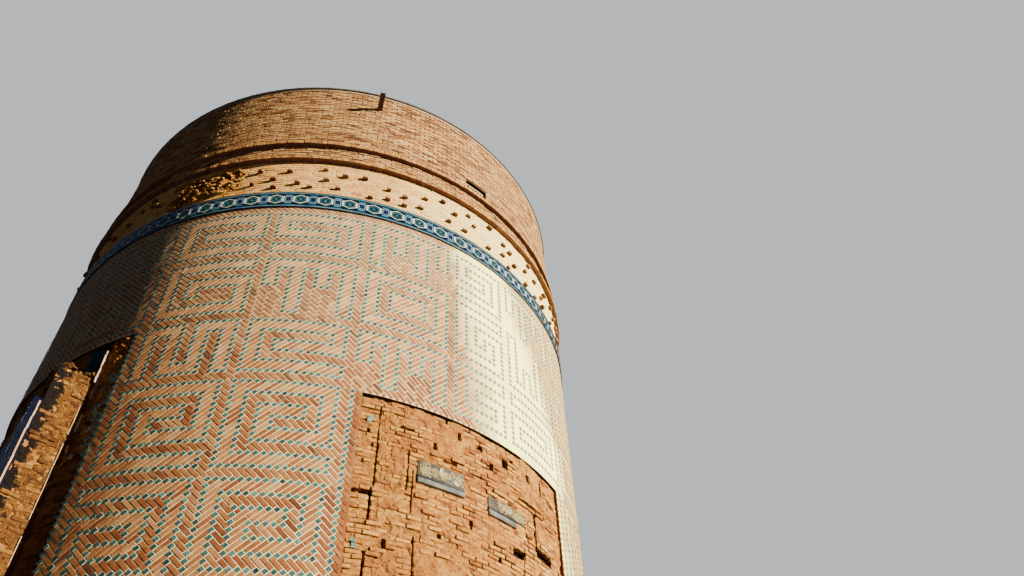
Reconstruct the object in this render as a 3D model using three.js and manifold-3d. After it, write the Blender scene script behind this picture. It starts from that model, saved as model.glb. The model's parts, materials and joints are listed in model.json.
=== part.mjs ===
// Round brick tomb tower on a low stone plinth, in millimetres, +Z up.
// The origin is on the ground at the tower's axis. The two portals face -Y and +Y,
// and the two shallow side panels face +X and -X.

import * as THREE from 'three';
import { mergeVertices } from 'three/addons/utils/BufferGeometryUtils.js';
import Module from 'manifold-3d';

const wasm = await Module();
wasm.setup();

// Driving dimensions

const fitGap = 0.3;
const roundSteps = 96;
const wallStepAngle = 3.4;
const farRadius = 7000;
const farHeight = 21000;
const cutPast = 100;

const plinthHeight = 300;
const plinthRadius = 5090;
const chamberRadius = 4050;
const coreRadius = 4940;
const facingRadius = 4990;
const facingTop = 12695;

const panelHalfAngle = 21.5;
const panelTop = 8870;
const portalHalfAngle = 29.5;
const portalRecessTop = 10050;

const doorHalfWidth = 650;
const doorTop = 2600;
const nicheHalfWidth = 1150;
const nicheSpringing = 5600;
const nicheBack = 4450;
const nicheArchOffset = 0.5 * nicheHalfWidth;
const nicheArcSteps = 7;
const portalHalfWidth = 2050;
const portalFront = 5000;
const portalFacing = 110;
const portalFacingOverlap = 75;
const portalBaseMargin = 70;

const tileBandTop = 13105;
const tileBandRadius = 5012;
const beltRadius = 4975;
const corbelBottom = 14095;
const corbelRingHeight = 70;
const corbelRingRadius = 5070;
const corbelStripRadius = 4945;
const upperDrumBottom = 14645;
const lipHeight = 90;
const lipRadius = 5032;
const lipSlopeTop = 14800;
const upperDrumBaseRadius = 4960;
const rimTop = 16880;
const rimRadius = 4900;

const ventHalfWidth = 260;
const ventBottom = 14820;
const ventHeight = 300;
const grilleFace = 4860;
const grilleThickness = 20;
const grilleFrame = 28;
const grilleBars = 5;
const grilleBarWidth = 18;

const spoutAzimuth = -25.5;
const spoutHeight = 16325;
const spoutWidth = 100;
const spoutDepth = 70;
const spoutWall = 8;
const spoutReach = 370;
const spoutRoot = 300;

const roofApex = 17780;
const roofEavesRadius = 4945;
const roofEdge = 40;
const roofThickness = 150;

const stepHalfWidth = 900;
const stepGoing = 350;
const stepHeight = 150;

// Materials

function finish(name, color, roughness, metalness) {
  return new THREE.MeshStandardMaterial({ name, color, roughness, metalness });
}

const facingBrick = () => finish('facing_brick', 0xc98f62, 0.85, 0);
const coreBrick = () => finish('core_brick', 0xc8915c, 0.95, 0);
const plainBrick = () => finish('plain_brick', 0xd0a26e, 0.9, 0);
const glazedTile = () => finish('glazed_tile', 0x3d8ba6, 0.3, 0);
const plinthStone = () => finish('plinth_stone', 0xb3a58f, 0.9, 0);
const floorBrick = () => finish('floor_brick', 0xa5815c, 0.9, 0);
const roofSheet = () => finish('roof_sheet', 0x54504a, 0.6, 0.6);
const spoutSheet = () => finish('spout_sheet', 0x6b3a2a, 0.7, 0.4);
const grilleIron = () => finish('grille_iron', 0x3a342e, 0.7, 0.7);

// Solids

function toSolid(geometry) {
  const bare = geometry.clone();
  bare.deleteAttribute('normal');
  bare.deleteAttribute('uv');
  const merged = mergeVertices(bare, 0.001);
  return new wasm.Manifold(new wasm.Mesh({
    numProp: 3,
    vertProperties: new Float32Array(merged.attributes.position.array),
    triVerts: new Uint32Array(merged.index.array),
  }));
}

function toGeometry(solid) {
  const mesh = solid.getMesh();
  const geometry = new THREE.BufferGeometry();
  geometry.setAttribute('position', new THREE.BufferAttribute(mesh.vertProperties, 3));
  geometry.setIndex(new THREE.BufferAttribute(mesh.triVerts, 1));
  geometry.computeVertexNormals();
  return geometry;
}

function box(low, high) {
  const size = high.map((value, axis) => value - low[axis]);
  const geometry = new THREE.BoxGeometry(...size);
  geometry.translate(...high.map((value, axis) => (value + low[axis]) / 2));
  return toSolid(geometry);
}

function polarPoint(radius, degrees) {
  const angle = THREE.MathUtils.degToRad(degrees);
  return new THREE.Vector2(radius * Math.cos(angle), radius * Math.sin(angle));
}

function upright(shape, bottom, top) {
  const geometry = new THREE.ExtrudeGeometry(shape, { depth: top - bottom, bevelEnabled: false });
  geometry.translate(0, 0, bottom);
  return toSolid(geometry);
}

// One stretch of a round wall between two azimuths, with radial end faces.
function wallStretch(inner, outer, bottom, top, from, to) {
  const trim = THREE.MathUtils.radToDeg(fitGap / 2 / chamberRadius);
  const start = from + trim;
  const end = to - trim;
  const steps = Math.ceil((end - start) / wallStepAngle);
  const azimuths = Array.from({ length: steps + 1 }, (_, i) => start + (end - start) * i / steps);
  const outside = azimuths.map((azimuth) => polarPoint(outer, azimuth));
  const inside = azimuths.reverse().map((azimuth) => polarPoint(inner, azimuth));
  return upright(new THREE.Shape([...outside, ...inside]), bottom, top);
}

// A full turn of a closed profile given as [radius, height] points.
function turned(profile) {
  const points = profile.map(([radius, height]) => new THREE.Vector2(radius, height));
  const onAxis = profile[0][0] === 0;
  if (!onAxis) {
    points.push(points[0].clone());
  }
  const geometry = new THREE.LatheGeometry(points, roundSteps);
  geometry.rotateX(Math.PI / 2);
  const solid = toSolid(geometry);
  return solid.volume() > 0 ? solid : turned([...profile].reverse());
}

// The quarter of a turned ring that is centred on one azimuth.
function quarter(ring, azimuth) {
  const trim = THREE.MathUtils.radToDeg(fitGap / 2 / chamberRadius);
  const wedge = new THREE.Shape([
    new THREE.Vector2(0, 0),
    polarPoint(farRadius * Math.SQRT2, azimuth - 45 + trim),
    polarPoint(farRadius * Math.SQRT2, azimuth + 45 - trim),
  ]);
  return ring.intersect(upright(wedge, 0, farHeight));
}

// The outline of a two-centred pointed arch, in X and Z, standing on the plinth.
function archOutline(halfWidth, bottom, springing) {
  const radius = halfWidth + nicheArchOffset;
  const apexAngle = Math.acos(nicheArchOffset / radius);
  const right = Array.from({ length: nicheArcSteps + 1 }, (_, i) => {
    const angle = apexAngle * i / nicheArcSteps;
    return [radius * Math.cos(angle) - nicheArchOffset, springing + radius * Math.sin(angle)];
  });
  const left = right.slice(0, -1).reverse().map(([x, z]) => [-x, z]);
  const feet = [[-halfWidth, bottom], [halfWidth, bottom]];
  return new THREE.Shape([...feet, ...right, ...left].map(([x, z]) => new THREE.Vector2(x, z)));
}

// An outline in X and Z, given a thickness from y = -front to y = -back.
function facingSouth(shape, front, back) {
  const geometry = new THREE.ExtrudeGeometry(shape, { depth: front - back, bevelEnabled: false });
  geometry.rotateX(Math.PI / 2);
  geometry.translate(0, -back, 0);
  return toSolid(geometry);
}

// Group

const tower = new THREE.Group();

function add(name, solid, material, turn = 0) {
  const mesh = new THREE.Mesh(toGeometry(solid.rotate([0, 0, turn])), material);
  mesh.name = name;
  tower.add(mesh);
}

// Plinth, floor and door steps

function addBase() {
  const ring = turned([
    [chamberRadius, 0],
    [plinthRadius, 0],
    [plinthRadius, plinthHeight],
    [chamberRadius, plinthHeight],
  ]);
  const margin = portalFacing + portalBaseMargin;
  const portalBase = box(
    [-portalHalfWidth - margin, -portalFront - margin, 0],
    [portalHalfWidth + margin, portalFront + margin, plinthHeight],
  );
  const hollow = turned([
    [0, -cutPast],
    [chamberRadius, -cutPast],
    [chamberRadius, plinthHeight + cutPast],
    [0, plinthHeight + cutPast],
  ]);
  add('plinth', ring.add(portalBase).subtract(hollow), plinthStone());

  const floor = turned([
    [0, 0],
    [chamberRadius - fitGap, 0],
    [chamberRadius - fitGap, plinthHeight],
    [0, plinthHeight],
  ]);
  add('floor', floor, floorBrick());

  const stepBack = portalFront + margin + fitGap;
  const step = box([-stepHalfWidth, -stepBack - stepGoing, 0], [stepHalfWidth, -stepBack, stepHeight]);
  add('door_step_south', step, plinthStone());
  add('door_step_north', step, plinthStone(), 180);
}

// Lower drum: facing, side panels and the walls over them

function addDrumWalls() {
  const facings = [
    ['northeast', panelHalfAngle],
    ['northwest', 90 + portalHalfAngle],
    ['southwest', 180 + panelHalfAngle],
    ['southeast', 270 + portalHalfAngle],
  ];
  const facingAngle = 90 - panelHalfAngle - portalHalfAngle;
  for (const [side, from] of facings) {
    const wall = wallStretch(chamberRadius, facingRadius, plinthHeight, facingTop, from, from + facingAngle);
    add(`drum_wall_${side}`, wall, facingBrick());
  }
  for (const [side, azimuth] of [['east', 0], ['west', 180]]) {
    const from = azimuth - panelHalfAngle;
    const to = azimuth + panelHalfAngle;
    const panel = wallStretch(chamberRadius, coreRadius, plinthHeight, panelTop, from, to);
    add(`side_panel_${side}`, panel, coreBrick());
    const over = wallStretch(chamberRadius, facingRadius, panelTop, facingTop, from, to);
    add(`wall_over_panel_${side}`, over, facingBrick());
  }
}

// Portal: the wall behind it, split beside and over the doorway, and its flat front

function addPortal(side, turn) {
  const from = -90 - portalHalfAngle;
  const to = -90 + portalHalfAngle;
  const niche = facingSouth(
    archOutline(nicheHalfWidth, -cutPast, nicheSpringing), portalFront + portalFacing + cutPast, nicheBack,
  );
  const reach = [farRadius, farRadius, farHeight];
  const eastHalf = box([-doorHalfWidth, -farRadius, 0], reach);
  const westHalf = box([-farRadius, -farRadius, 0], [doorHalfWidth, farRadius, farHeight]);
  const beside = wallStretch(chamberRadius, coreRadius, plinthHeight, doorTop, from, to).subtract(niche);
  add(`portal_wall_${side}_left`, beside.subtract(eastHalf), coreBrick(), turn);
  add(`portal_wall_${side}_right`, beside.subtract(westHalf), coreBrick(), turn);
  const overDoor = wallStretch(chamberRadius, coreRadius, doorTop, portalRecessTop, from, to);
  add(`portal_wall_${side}_over`, overDoor.subtract(niche), coreBrick(), turn);
  const overRecess = wallStretch(chamberRadius, facingRadius, portalRecessTop, facingTop, from, to);
  add(`wall_over_portal_${side}`, overRecess, facingBrick(), turn);

  const drum = wallStretch(chamberRadius - cutPast, coreRadius + fitGap, -cutPast, farHeight, from, to);
  const pierTop = nicheSpringing;
  const leftPier = box(
    [-portalHalfWidth, -portalFront, plinthHeight], [-nicheHalfWidth, -chamberRadius, pierTop],
  );
  const rightPier = box(
    [nicheHalfWidth, -portalFront, plinthHeight], [portalHalfWidth, -chamberRadius, pierTop],
  );
  add(`portal_pier_${side}_left`, leftPier.subtract(drum), coreBrick(), turn);
  add(`portal_pier_${side}_right`, rightPier.subtract(drum), coreBrick(), turn);

  const brokenTop = new THREE.Shape([
    [-portalHalfWidth, pierTop],
    [portalHalfWidth, pierTop],
    [portalHalfWidth, 9330],
    [1780, 9450],
    [1420, 9390],
    [1130, 9180],
    [760, 9240],
    [300, 9060],
    [-240, 9120],
    [-640, 8960],
    [-1010, 9150],
    [-1430, 9290],
    [-1760, 9260],
    [-portalHalfWidth, 9080],
  ].map(([x, z]) => new THREE.Vector2(x, z)));
  const front = facingSouth(brokenTop, portalFront, chamberRadius);
  add(`portal_front_${side}`, front.subtract(drum).subtract(niche), coreBrick(), turn);

  const facingHalfWidth = portalHalfWidth + portalFacingOverlap;
  const brokenFacing = new THREE.Shape([
    [-facingHalfWidth, plinthHeight],
    [facingHalfWidth, plinthHeight],
    [facingHalfWidth, 8690],
    [2010, 8610],
    [1900, 8280],
    [1560, 8160],
    [1280, 7820],
    [820, 7930],
    [380, 7640],
    [-180, 7700],
    [-690, 7560],
    [-980, 7790],
    [-1460, 7880],
    [-1790, 8210],
    [-facingHalfWidth, 8340],
  ].map(([x, z]) => new THREE.Vector2(x, z)));
  const slab = facingSouth(brokenFacing, portalFront + portalFacing, portalFront + fitGap);
  add(`portal_facing_${side}`, slab.subtract(niche), glazedTile(), turn);
}

// Tile band, belt of stripped brick, corbelled courses and upper drum

const quarters = [['east', 0], ['north', 90], ['west', 180], ['south', 270]];

function addUpperRings() {
  const band = turned([
    [coreRadius + fitGap, facingTop],
    [tileBandRadius, facingTop],
    [tileBandRadius, tileBandTop],
    [coreRadius + fitGap, tileBandTop],
  ]);
  add('tile_band', band, glazedTile());

  const belt = turned([
    [chamberRadius, facingTop],
    [coreRadius, facingTop],
    [coreRadius, tileBandTop],
    [beltRadius, tileBandTop],
    [beltRadius, corbelBottom],
    [chamberRadius, corbelBottom],
  ]);
  const corbel = turned([
    [chamberRadius, corbelBottom],
    [corbelRingRadius, corbelBottom],
    [corbelRingRadius, corbelBottom + corbelRingHeight],
    [corbelStripRadius, corbelBottom + corbelRingHeight],
    [corbelStripRadius, upperDrumBottom],
    [chamberRadius, upperDrumBottom],
  ]);
  for (const [side, azimuth] of quarters) {
    add(`belt_wall_${side}`, quarter(belt, azimuth), plainBrick());
    add(`corbel_courses_${side}`, quarter(corbel, azimuth), plainBrick());
  }
}

function channelSection(clearance) {
  const half = spoutWidth / 2 + clearance;
  return new THREE.Shape([
    new THREE.Vector2(-half, -clearance),
    new THREE.Vector2(half, -clearance),
    new THREE.Vector2(half, spoutDepth + clearance),
    new THREE.Vector2(-half, spoutDepth + clearance),
  ]);
}

function alongSpout(shape, start, end) {
  const solid = facingSouth(shape, end, start);
  return solid.translate([0, 0, spoutHeight]).rotate([0, 0, 90 + spoutAzimuth]);
}

function addUpperDrum() {
  const ring = turned([
    [chamberRadius, upperDrumBottom],
    [lipRadius, upperDrumBottom],
    [lipRadius, upperDrumBottom + lipHeight],
    [upperDrumBaseRadius, lipSlopeTop],
    [rimRadius, rimTop],
    [chamberRadius, rimTop],
  ]);
  const vent = box(
    [-farRadius, -ventHalfWidth, ventBottom], [farRadius, ventHalfWidth, ventBottom + ventHeight],
  );
  const spoutHole = alongSpout(channelSection(fitGap), upperDrumBaseRadius - spoutRoot, farRadius);
  for (const [side, azimuth] of quarters) {
    const drum = quarter(ring, azimuth).subtract(vent).subtract(spoutHole);
    add(`upper_drum_${side}`, drum, plainBrick());
  }
}

function addSpout() {
  const start = upperDrumBaseRadius - spoutRoot + fitGap;
  const end = upperDrumBaseRadius + spoutReach;
  const half = spoutWidth / 2 - spoutWall;
  const trough = new THREE.Shape([
    new THREE.Vector2(-half, spoutWall),
    new THREE.Vector2(half, spoutWall),
    new THREE.Vector2(half, spoutDepth * 2),
    new THREE.Vector2(-half, spoutDepth * 2),
  ]);
  const channel = alongSpout(channelSection(0), start, end);
  add('roof_spout', channel.subtract(alongSpout(trough, start - cutPast, end + cutPast)), spoutSheet());
}

// Vent grilles: one flat frame with upright bars in each vent

function grille() {
  const halfWidth = ventHalfWidth - fitGap;
  const low = ventBottom + fitGap;
  const high = ventBottom + ventHeight - fitGap;
  const back = -grilleFace + grilleThickness;
  let solid = box([-halfWidth, -grilleFace, low], [halfWidth, back, high]);
  const clearWidth = 2 * (halfWidth - grilleFrame) - grilleBars * grilleBarWidth;
  const openingWidth = clearWidth / (grilleBars + 1);
  for (let i = 0; i <= grilleBars; i += 1) {
    const left = -halfWidth + grilleFrame + i * (openingWidth + grilleBarWidth);
    const opening = box(
      [left, -grilleFace - cutPast, low + grilleFrame],
      [left + openingWidth, back + cutPast, high - grilleFrame],
    );
    solid = solid.subtract(opening);
  }
  return solid;
}

function addGrilles() {
  add('vent_grille_east', grille(), grilleIron(), 90);
  add('vent_grille_west', grille(), grilleIron(), -90);
}

// Low conical roof, hollow below

function addRoof() {
  const roof = turned([
    [0, roofApex - roofThickness],
    [chamberRadius, rimTop],
    [roofEavesRadius, rimTop],
    [roofEavesRadius, rimTop + roofEdge],
    [0, roofApex],
  ]);
  add('roof', roof, roofSheet());
}

addBase();
addDrumWalls();
addPortal('south', 0);
addPortal('north', 180);
addUpperRings();
addUpperDrum();
addSpout();
addGrilles();
addRoof();

export default tower;
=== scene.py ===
# Looks of the round brick tomb tower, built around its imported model. Metres, +Z up.
# Azimuths are in degrees from +X, counter-clockwise seen from above.

import json
import math
import random

import bmesh
import bpy
import numpy as np
from mathutils import Matrix, Vector, noise

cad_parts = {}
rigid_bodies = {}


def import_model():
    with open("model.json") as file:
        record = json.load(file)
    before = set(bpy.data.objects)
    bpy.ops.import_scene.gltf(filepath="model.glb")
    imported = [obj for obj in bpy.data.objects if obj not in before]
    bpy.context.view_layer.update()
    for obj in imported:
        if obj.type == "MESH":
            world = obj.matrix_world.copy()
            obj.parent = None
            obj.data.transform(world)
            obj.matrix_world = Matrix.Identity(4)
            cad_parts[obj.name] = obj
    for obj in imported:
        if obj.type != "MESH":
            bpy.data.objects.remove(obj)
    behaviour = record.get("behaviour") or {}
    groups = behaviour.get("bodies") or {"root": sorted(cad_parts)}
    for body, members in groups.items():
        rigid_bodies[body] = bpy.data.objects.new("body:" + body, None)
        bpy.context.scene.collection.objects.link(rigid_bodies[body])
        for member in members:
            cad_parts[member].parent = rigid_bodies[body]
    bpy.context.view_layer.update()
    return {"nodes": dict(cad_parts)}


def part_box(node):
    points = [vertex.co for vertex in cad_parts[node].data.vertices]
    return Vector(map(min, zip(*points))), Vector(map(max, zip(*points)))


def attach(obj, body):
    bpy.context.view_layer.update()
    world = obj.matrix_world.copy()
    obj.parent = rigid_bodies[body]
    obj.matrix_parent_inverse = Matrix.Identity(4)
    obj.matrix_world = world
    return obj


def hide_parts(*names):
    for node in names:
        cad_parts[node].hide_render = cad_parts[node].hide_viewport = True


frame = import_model()
nodes = frame["nodes"]

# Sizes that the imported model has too

PLINTH_TOP = 0.3
PLINTH_RADIUS = 5.09
CHAMBER_RADIUS = 4.05
CORE_RADIUS = 4.94
FACING_TOP = 12.695
PANEL_HALF_ANGLE = 21.5
PANEL_TOP = 8.87
PORTAL_HALF_ANGLE = 29.5
RECESS_TOP = 10.05
BAND_TOP = 13.105
BAND_RADIUS = 5.012
BELT_RADIUS = 4.975
CORBEL_BOTTOM = 14.095
CORBEL_TOP = 14.165
CORBEL_RADIUS = 5.07
STRIP_RADIUS = 4.945
LIP_BOTTOM = 14.645
LIP_TOP = 14.735
LIP_RADIUS = 5.032
LIP_SLOPE_TOP = 14.8
UPPER_DRUM_RADIUS = 4.96
RIM_TOP = 16.88
RIM_RADIUS = 4.9
ROOF_EDGE = 0.04
VENT_BOTTOM = 14.82
VENT_TOP = 15.12
VENT_HALF_WIDTH = 0.26
PORTAL_HALF_WIDTH = 2.05
PORTAL_FRONT = 5.0
PORTAL_SLAB_FRONT = 5.11
SLAB_HALF_WIDTH = 2.125
NICHE_HALF_WIDTH = 1.15
NICHE_SPRINGING = 5.6
NICHE_BACK = 4.45
DOOR_HALF_WIDTH = 0.65
DOOR_TOP = 2.6
FRONT_TOP = (
    (-2.05, 9.08), (-1.76, 9.26), (-1.43, 9.29), (-1.01, 9.15), (-0.64, 8.96), (-0.24, 9.12),
    (0.3, 9.06), (0.76, 9.24), (1.13, 9.18), (1.42, 9.39), (1.78, 9.45), (2.05, 9.33),
)
SLAB_TOP = (
    (-2.125, 8.34), (-1.79, 8.21), (-1.46, 7.88), (-0.98, 7.79), (-0.69, 7.56), (-0.18, 7.7),
    (0.38, 7.64), (0.82, 7.93), (1.28, 7.82), (1.56, 8.16), (1.9, 8.28), (2.01, 8.61), (2.125, 8.69),
)
SIDES = ("east", "north", "west", "south")
PANEL_SIDES = (("east", 0), ("west", 180))
PORTAL_SIDES = (("south", 1), ("north", -1))

# A degree of azimuth in metres along the wall

DEGREE = math.radians(4.95)

# Grid of the diagonal facing: a step is half the diagonal of one brick module

GRID_STEPS = 656
HALF_TURN = GRID_STEPS // 2
GRID_ROW = 0.04789
MODULE = GRID_ROW * math.sqrt(2)
JOINT = 0.014
FACE_RADIUS = 4.9945

# The key light is strong, so that only the painted highlight, where the key light meets the facing squarely,
# gets near white: the rest is painted darker

PAINT = 0.45
PAINTED_HIGHLIGHT = (0.98, 0.96, 0.40, 1)
MATT = 0.85
WHOLE = (1, 1, 1, 1)


# Places on the tower

def on_drum(azimuth, radius, height):
    """A point of a round wall, with the directions out of it and to its right as seen from outside."""
    turn = math.radians(azimuth)
    outward = Vector((math.cos(turn), math.sin(turn), 0))
    right = Vector((-outward.y, outward.x, 0))
    return outward * radius + Vector((0, 0, height)), outward, right


def on_front(x, height, depth, side):
    """The same for a portal's flat front; side is 1 for the south portal and -1 for the north one."""
    return Vector((side * x, -side * depth, height)), Vector((0, -side, 0)), Vector((side, 0, 0))


def colour(red, green, blue):
    """A colour as it looks in the key light, from the usual 0 to 255 steps to Blender's linear colour."""
    steps = (value / 255 for value in (red, green, blue))
    linear = [s / 12.92 if s < 0.04045 else ((s + 0.055) / 1.055) ** 2.4 for s in steps]
    return (*(value * PAINT for value in linear), 1)


# Finishes

class Wiring:
    """Puts nodes into a tree. Each input of a node is a value, or the socket that feeds it."""

    def __init__(self, tree):
        self.tree = tree

    def put(self, socket, value):
        if isinstance(value, bpy.types.NodeSocket):
            self.tree.links.new(value, socket)
        else:
            socket.default_value = value

    def node(self, kind, inputs=None, output=0, **settings):
        made = self.tree.nodes.new(kind)
        for name, value in settings.items():
            setattr(made, name, value)
        for socket, value in (inputs or {}).items():
            self.put(made.inputs[socket], value)
        return made.outputs[output]


class Finish(Wiring):
    """One procedural material, put together from small steps."""

    def __init__(self, name, roughness=0.9, metallic=0.0):
        self.material = bpy.data.materials.new(name)
        self.material.use_nodes = True
        super().__init__(self.material.node_tree)
        self.shader = self.tree.nodes["Principled BSDF"].inputs
        self.shader["Roughness"].default_value = roughness
        self.shader["Metallic"].default_value = metallic
        if roughness > MATT:
            self.shader["Specular IOR Level"].default_value = 0.12
        self.where = self.node("ShaderNodeTexCoord", output="Object")

    def noise(self, scale, detail=3.0, roughness=0.55):
        inputs = {"Vector": self.where, "Scale": scale, "Detail": detail, "Roughness": roughness}
        return self.node("ShaderNodeTexNoise", inputs)

    def cracks(self, scale, stretch=(1, 1, 1)):
        """The distance to the nearest edge of a net of cells."""
        where = self.node("ShaderNodeMapping", {"Vector": self.where, "Scale": stretch})
        inputs = {"Vector": where, "Scale": scale}
        return self.node("ShaderNodeTexVoronoi", inputs, "Distance", feature="DISTANCE_TO_EDGE")

    def attribute(self, name):
        return self.node("ShaderNodeAttribute", output="Fac", attribute_name=name)

    def spread(self, value, low, high, to_low=0.0, to_high=1.0):
        """Carries the value's range from low to high over to the one from to_low to to_high."""
        return self.node("ShaderNodeMapRange", {0: value, 1: low, 2: high, 3: to_low, 4: to_high})

    def sum(self, operation, first, second=0):
        return self.node("ShaderNodeMath", {0: first, 1: second}, operation=operation)

    def tones(self, value, *stops):
        """A colour ramp; each stop is its place, red, green and blue."""
        node = self.tree.nodes.new("ShaderNodeValToRGB")
        self.put(node.inputs["Fac"], value)
        ramp = node.color_ramp
        while len(ramp.elements) < len(stops):
            ramp.elements.new(0.5)
        for element, (place, *shade) in zip(ramp.elements, stops):
            element.position = place
            element.color = colour(*shade)
        return node.outputs["Color"]

    def mix(self, share, first, second, how="MIX"):
        inputs = {"Factor": share, 6: first, 7: second}
        return self.node("ShaderNodeMix", inputs, 2, data_type="RGBA", blend_type=how)

    def axis(self, name):
        return self.node("ShaderNodeSeparateXYZ", {"Vector": self.where}, name)

    def height(self):
        return self.axis("Z")

    def from_axis(self):
        """The distance from the tower's axis."""
        flat = self.node("ShaderNodeVectorMath", {0: self.where, 1: (1, 1, 0)}, operation="MULTIPLY")
        return self.node("ShaderNodeVectorMath", {0: flat}, "Value", operation="LENGTH")

    def towards_sun(self):
        """How many metres a spot lies from the axis towards the side that the key light faces."""
        turn = math.radians(40)
        return self.sum("ADD", self.sum("MULTIPLY", self.axis("X"), math.cos(turn)),
                        self.sum("MULTIPLY", self.axis("Y"), math.sin(turn)))

    def painted_highlight_share(self):
        """From 0 to 1 over the painted highlight, near white where the key light meets the facing squarely:
        a stretch right of the east panel's middle.
        """
        azimuth = self.sum("ARCTAN2", self.axis("Y"), self.axis("X"))
        ragged = self.spread(self.noise(0.9, 5, 0.6), 0.3, 0.7, -0.06, 0.06)
        leaning = self.sum("ADD", ragged, self.spread(self.height(), 9.7, 12.7, 0, 0.09))
        rise = self.spread(self.sum("ADD", azimuth, leaning), -0.06, 0.05)
        falling = self.sum("ADD", ragged, self.spread(self.height(), 9.6, 12.7, 0, 0.3))
        fall = self.spread(self.sum("ADD", azimuth, falling), 0.46, 0.36, 0.2, 1)
        end = self.spread(self.sum("ADD", azimuth, ragged), 0.85, 0.6)
        return self.sum("MULTIPLY", self.sum("MULTIPLY", rise, fall), end)

    def off_panel(self):
        """From 0 on a side panel's bare edge to 1 on the sound facing beside it."""
        azimuth = self.sum("ARCTAN2", self.axis("Y"), self.sum("ABSOLUTE", self.axis("X")))
        ragged = self.spread(self.noise(11, 3), 0.3, 0.7, -0.006, 0.006)
        beside = self.spread(self.sum("ADD", self.sum("ABSOLUTE", azimuth), ragged), 0.396, 0.402)
        return self.sum("MAXIMUM", beside, self.spread(self.height(), PANEL_TOP, PANEL_TOP + 0.02))

    def plastered(self, base):
        """The base, with plaster over it in the chamber."""
        plaster = self.tones(self.noise(1.3, 6, 0.65), (0.3, 176, 150, 118), (0.55, 214, 196, 166),
                             (0.8, 232, 220, 196))
        within = self.spread(self.from_axis(), CHAMBER_RADIUS + 0.04, CHAMBER_RADIUS + 0.02)
        return self.mix(within, base, plaster)

    def patches(self, base, grain, low, high, shade, share=1.0):
        """Patches of a shade over the base, where noise of that grain goes from low to high."""
        return self.mix(self.spread(self.noise(*grain), low, high, 0, share), base, colour(*shade))

    def coat(self, base, rough=None, relief=None, distance=0.004):
        self.put(self.shader["Base Color"], base)
        if rough is not None:
            self.put(self.shader["Roughness"], rough)
        if relief is not None:
            inputs = {"Distance": distance, "Strength": 1.0, "Height": relief}
            self.put(self.shader["Normal"], self.node("ShaderNodeBump", inputs))
        return self.material


def brick_finish(name, stops, stain, grain=0.0035, highlight_strength=0.0, edge_dirt_and_shade=0.7, mottle=0.16,
                 lift=WHOLE, soot=(76, 38, 26), pitted=0.37, paling=0.0):
    """Fired brick: each one has its own tone, with blotches, pores and dust over it, and dark arrises,
    partly dirt and partly painted shade. The facing is dusty high up and darker low down, and takes a
    painted highlight on the key light's side."""
    f = Finish(name)
    blotch = f.spread(f.noise(14, 4), 0.3, 0.7, -mottle, mottle)
    base = f.tones(f.sum("ADD", f.attribute("tone"), blotch), *stops)
    base = f.patches(base, (0.55, 5, 0.6), 0.42, 0.68, stain, 0.45)
    pores = f.spread(f.noise(160, 3, 0.7), 0.36, 0.5)
    base = f.mix(f.spread(pores, 0, 1, 0.35, 0), base, colour(70, 42, 25))
    base = f.patches(base, (31, 5, 0.65), pitted, pitted - 0.06, (84, 50, 30), 0.65)
    base = f.patches(base, (5, 5, 0.7), 0.55, 0.72, (236, 200, 134), 0.35)
    if highlight_strength:
        base = f.mix(f.spread(f.height(), 8.5, 12.5, 0, 0.3), base, colour(222, 204, 168))
        base = f.mix(f.spread(f.height(), 10.5, 7.5, 0, 0.3), base, colour(130, 78, 48))
        # Painted highlight: near white where the key light meets the facing squarely, with less painted edge
        # shade there
        base = f.mix(f.sum("MULTIPLY", f.painted_highlight_share(), highlight_strength), base, PAINTED_HIGHLIGHT)
        edge_dirt_and_shade = f.spread(f.painted_highlight_share(), 0, 1, edge_dirt_and_shade, 0.15)
    # Arrises and backs darken: partly dirt, partly painted shade in the joints and under each brick
    rim = f.spread(f.attribute("rim"), 0.2, 0.9)
    base = f.mix(f.sum("MULTIPLY", rim, edge_dirt_and_shade), base, colour(*soot))
    base = f.mix(1.0, base, lift, "MULTIPLY")
    # Painted light: the bricks turn paler towards the side that the key light faces
    if paling:
        base = f.mix(f.spread(f.towards_sun(), 2.3, 4.4, 0, paling), base, PAINTED_HIGHLIGHT)
    relief = f.sum("ADD", f.noise(60, 6, 0.75), f.sum("MULTIPLY", pores, 0.25))
    return f.coat(base, relief=relief, distance=grain)


def facing_brick():
    stops = ((0.0, 238, 186, 124), (0.3, 208, 142, 82), (0.6, 178, 104, 54), (0.85, 142, 72, 38),
             (1.0, 92, 48, 30))
    return brick_finish("facing_brick_face", stops, (170, 118, 74), highlight_strength=0.85, edge_dirt_and_shade=0.38)


def plain_brick(name, **more):
    stops = ((0.0, 250, 208, 124), (0.4, 230, 176, 96), (0.75, 186, 124, 66), (1.0, 104, 60, 34))
    return brick_finish(name, stops, (202, 154, 82), mottle=0.2, **more)


def core_brick(name, lift):
    stops = ((0.0, 226, 172, 90), (0.35, 206, 142, 64), (0.7, 166, 98, 42), (1.0, 100, 54, 26))
    return brick_finish(name, stops, (190, 130, 62), grain=0.008, edge_dirt_and_shade=0.75, mottle=0.28, lift=lift,
                        pitted=0.42)


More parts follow.
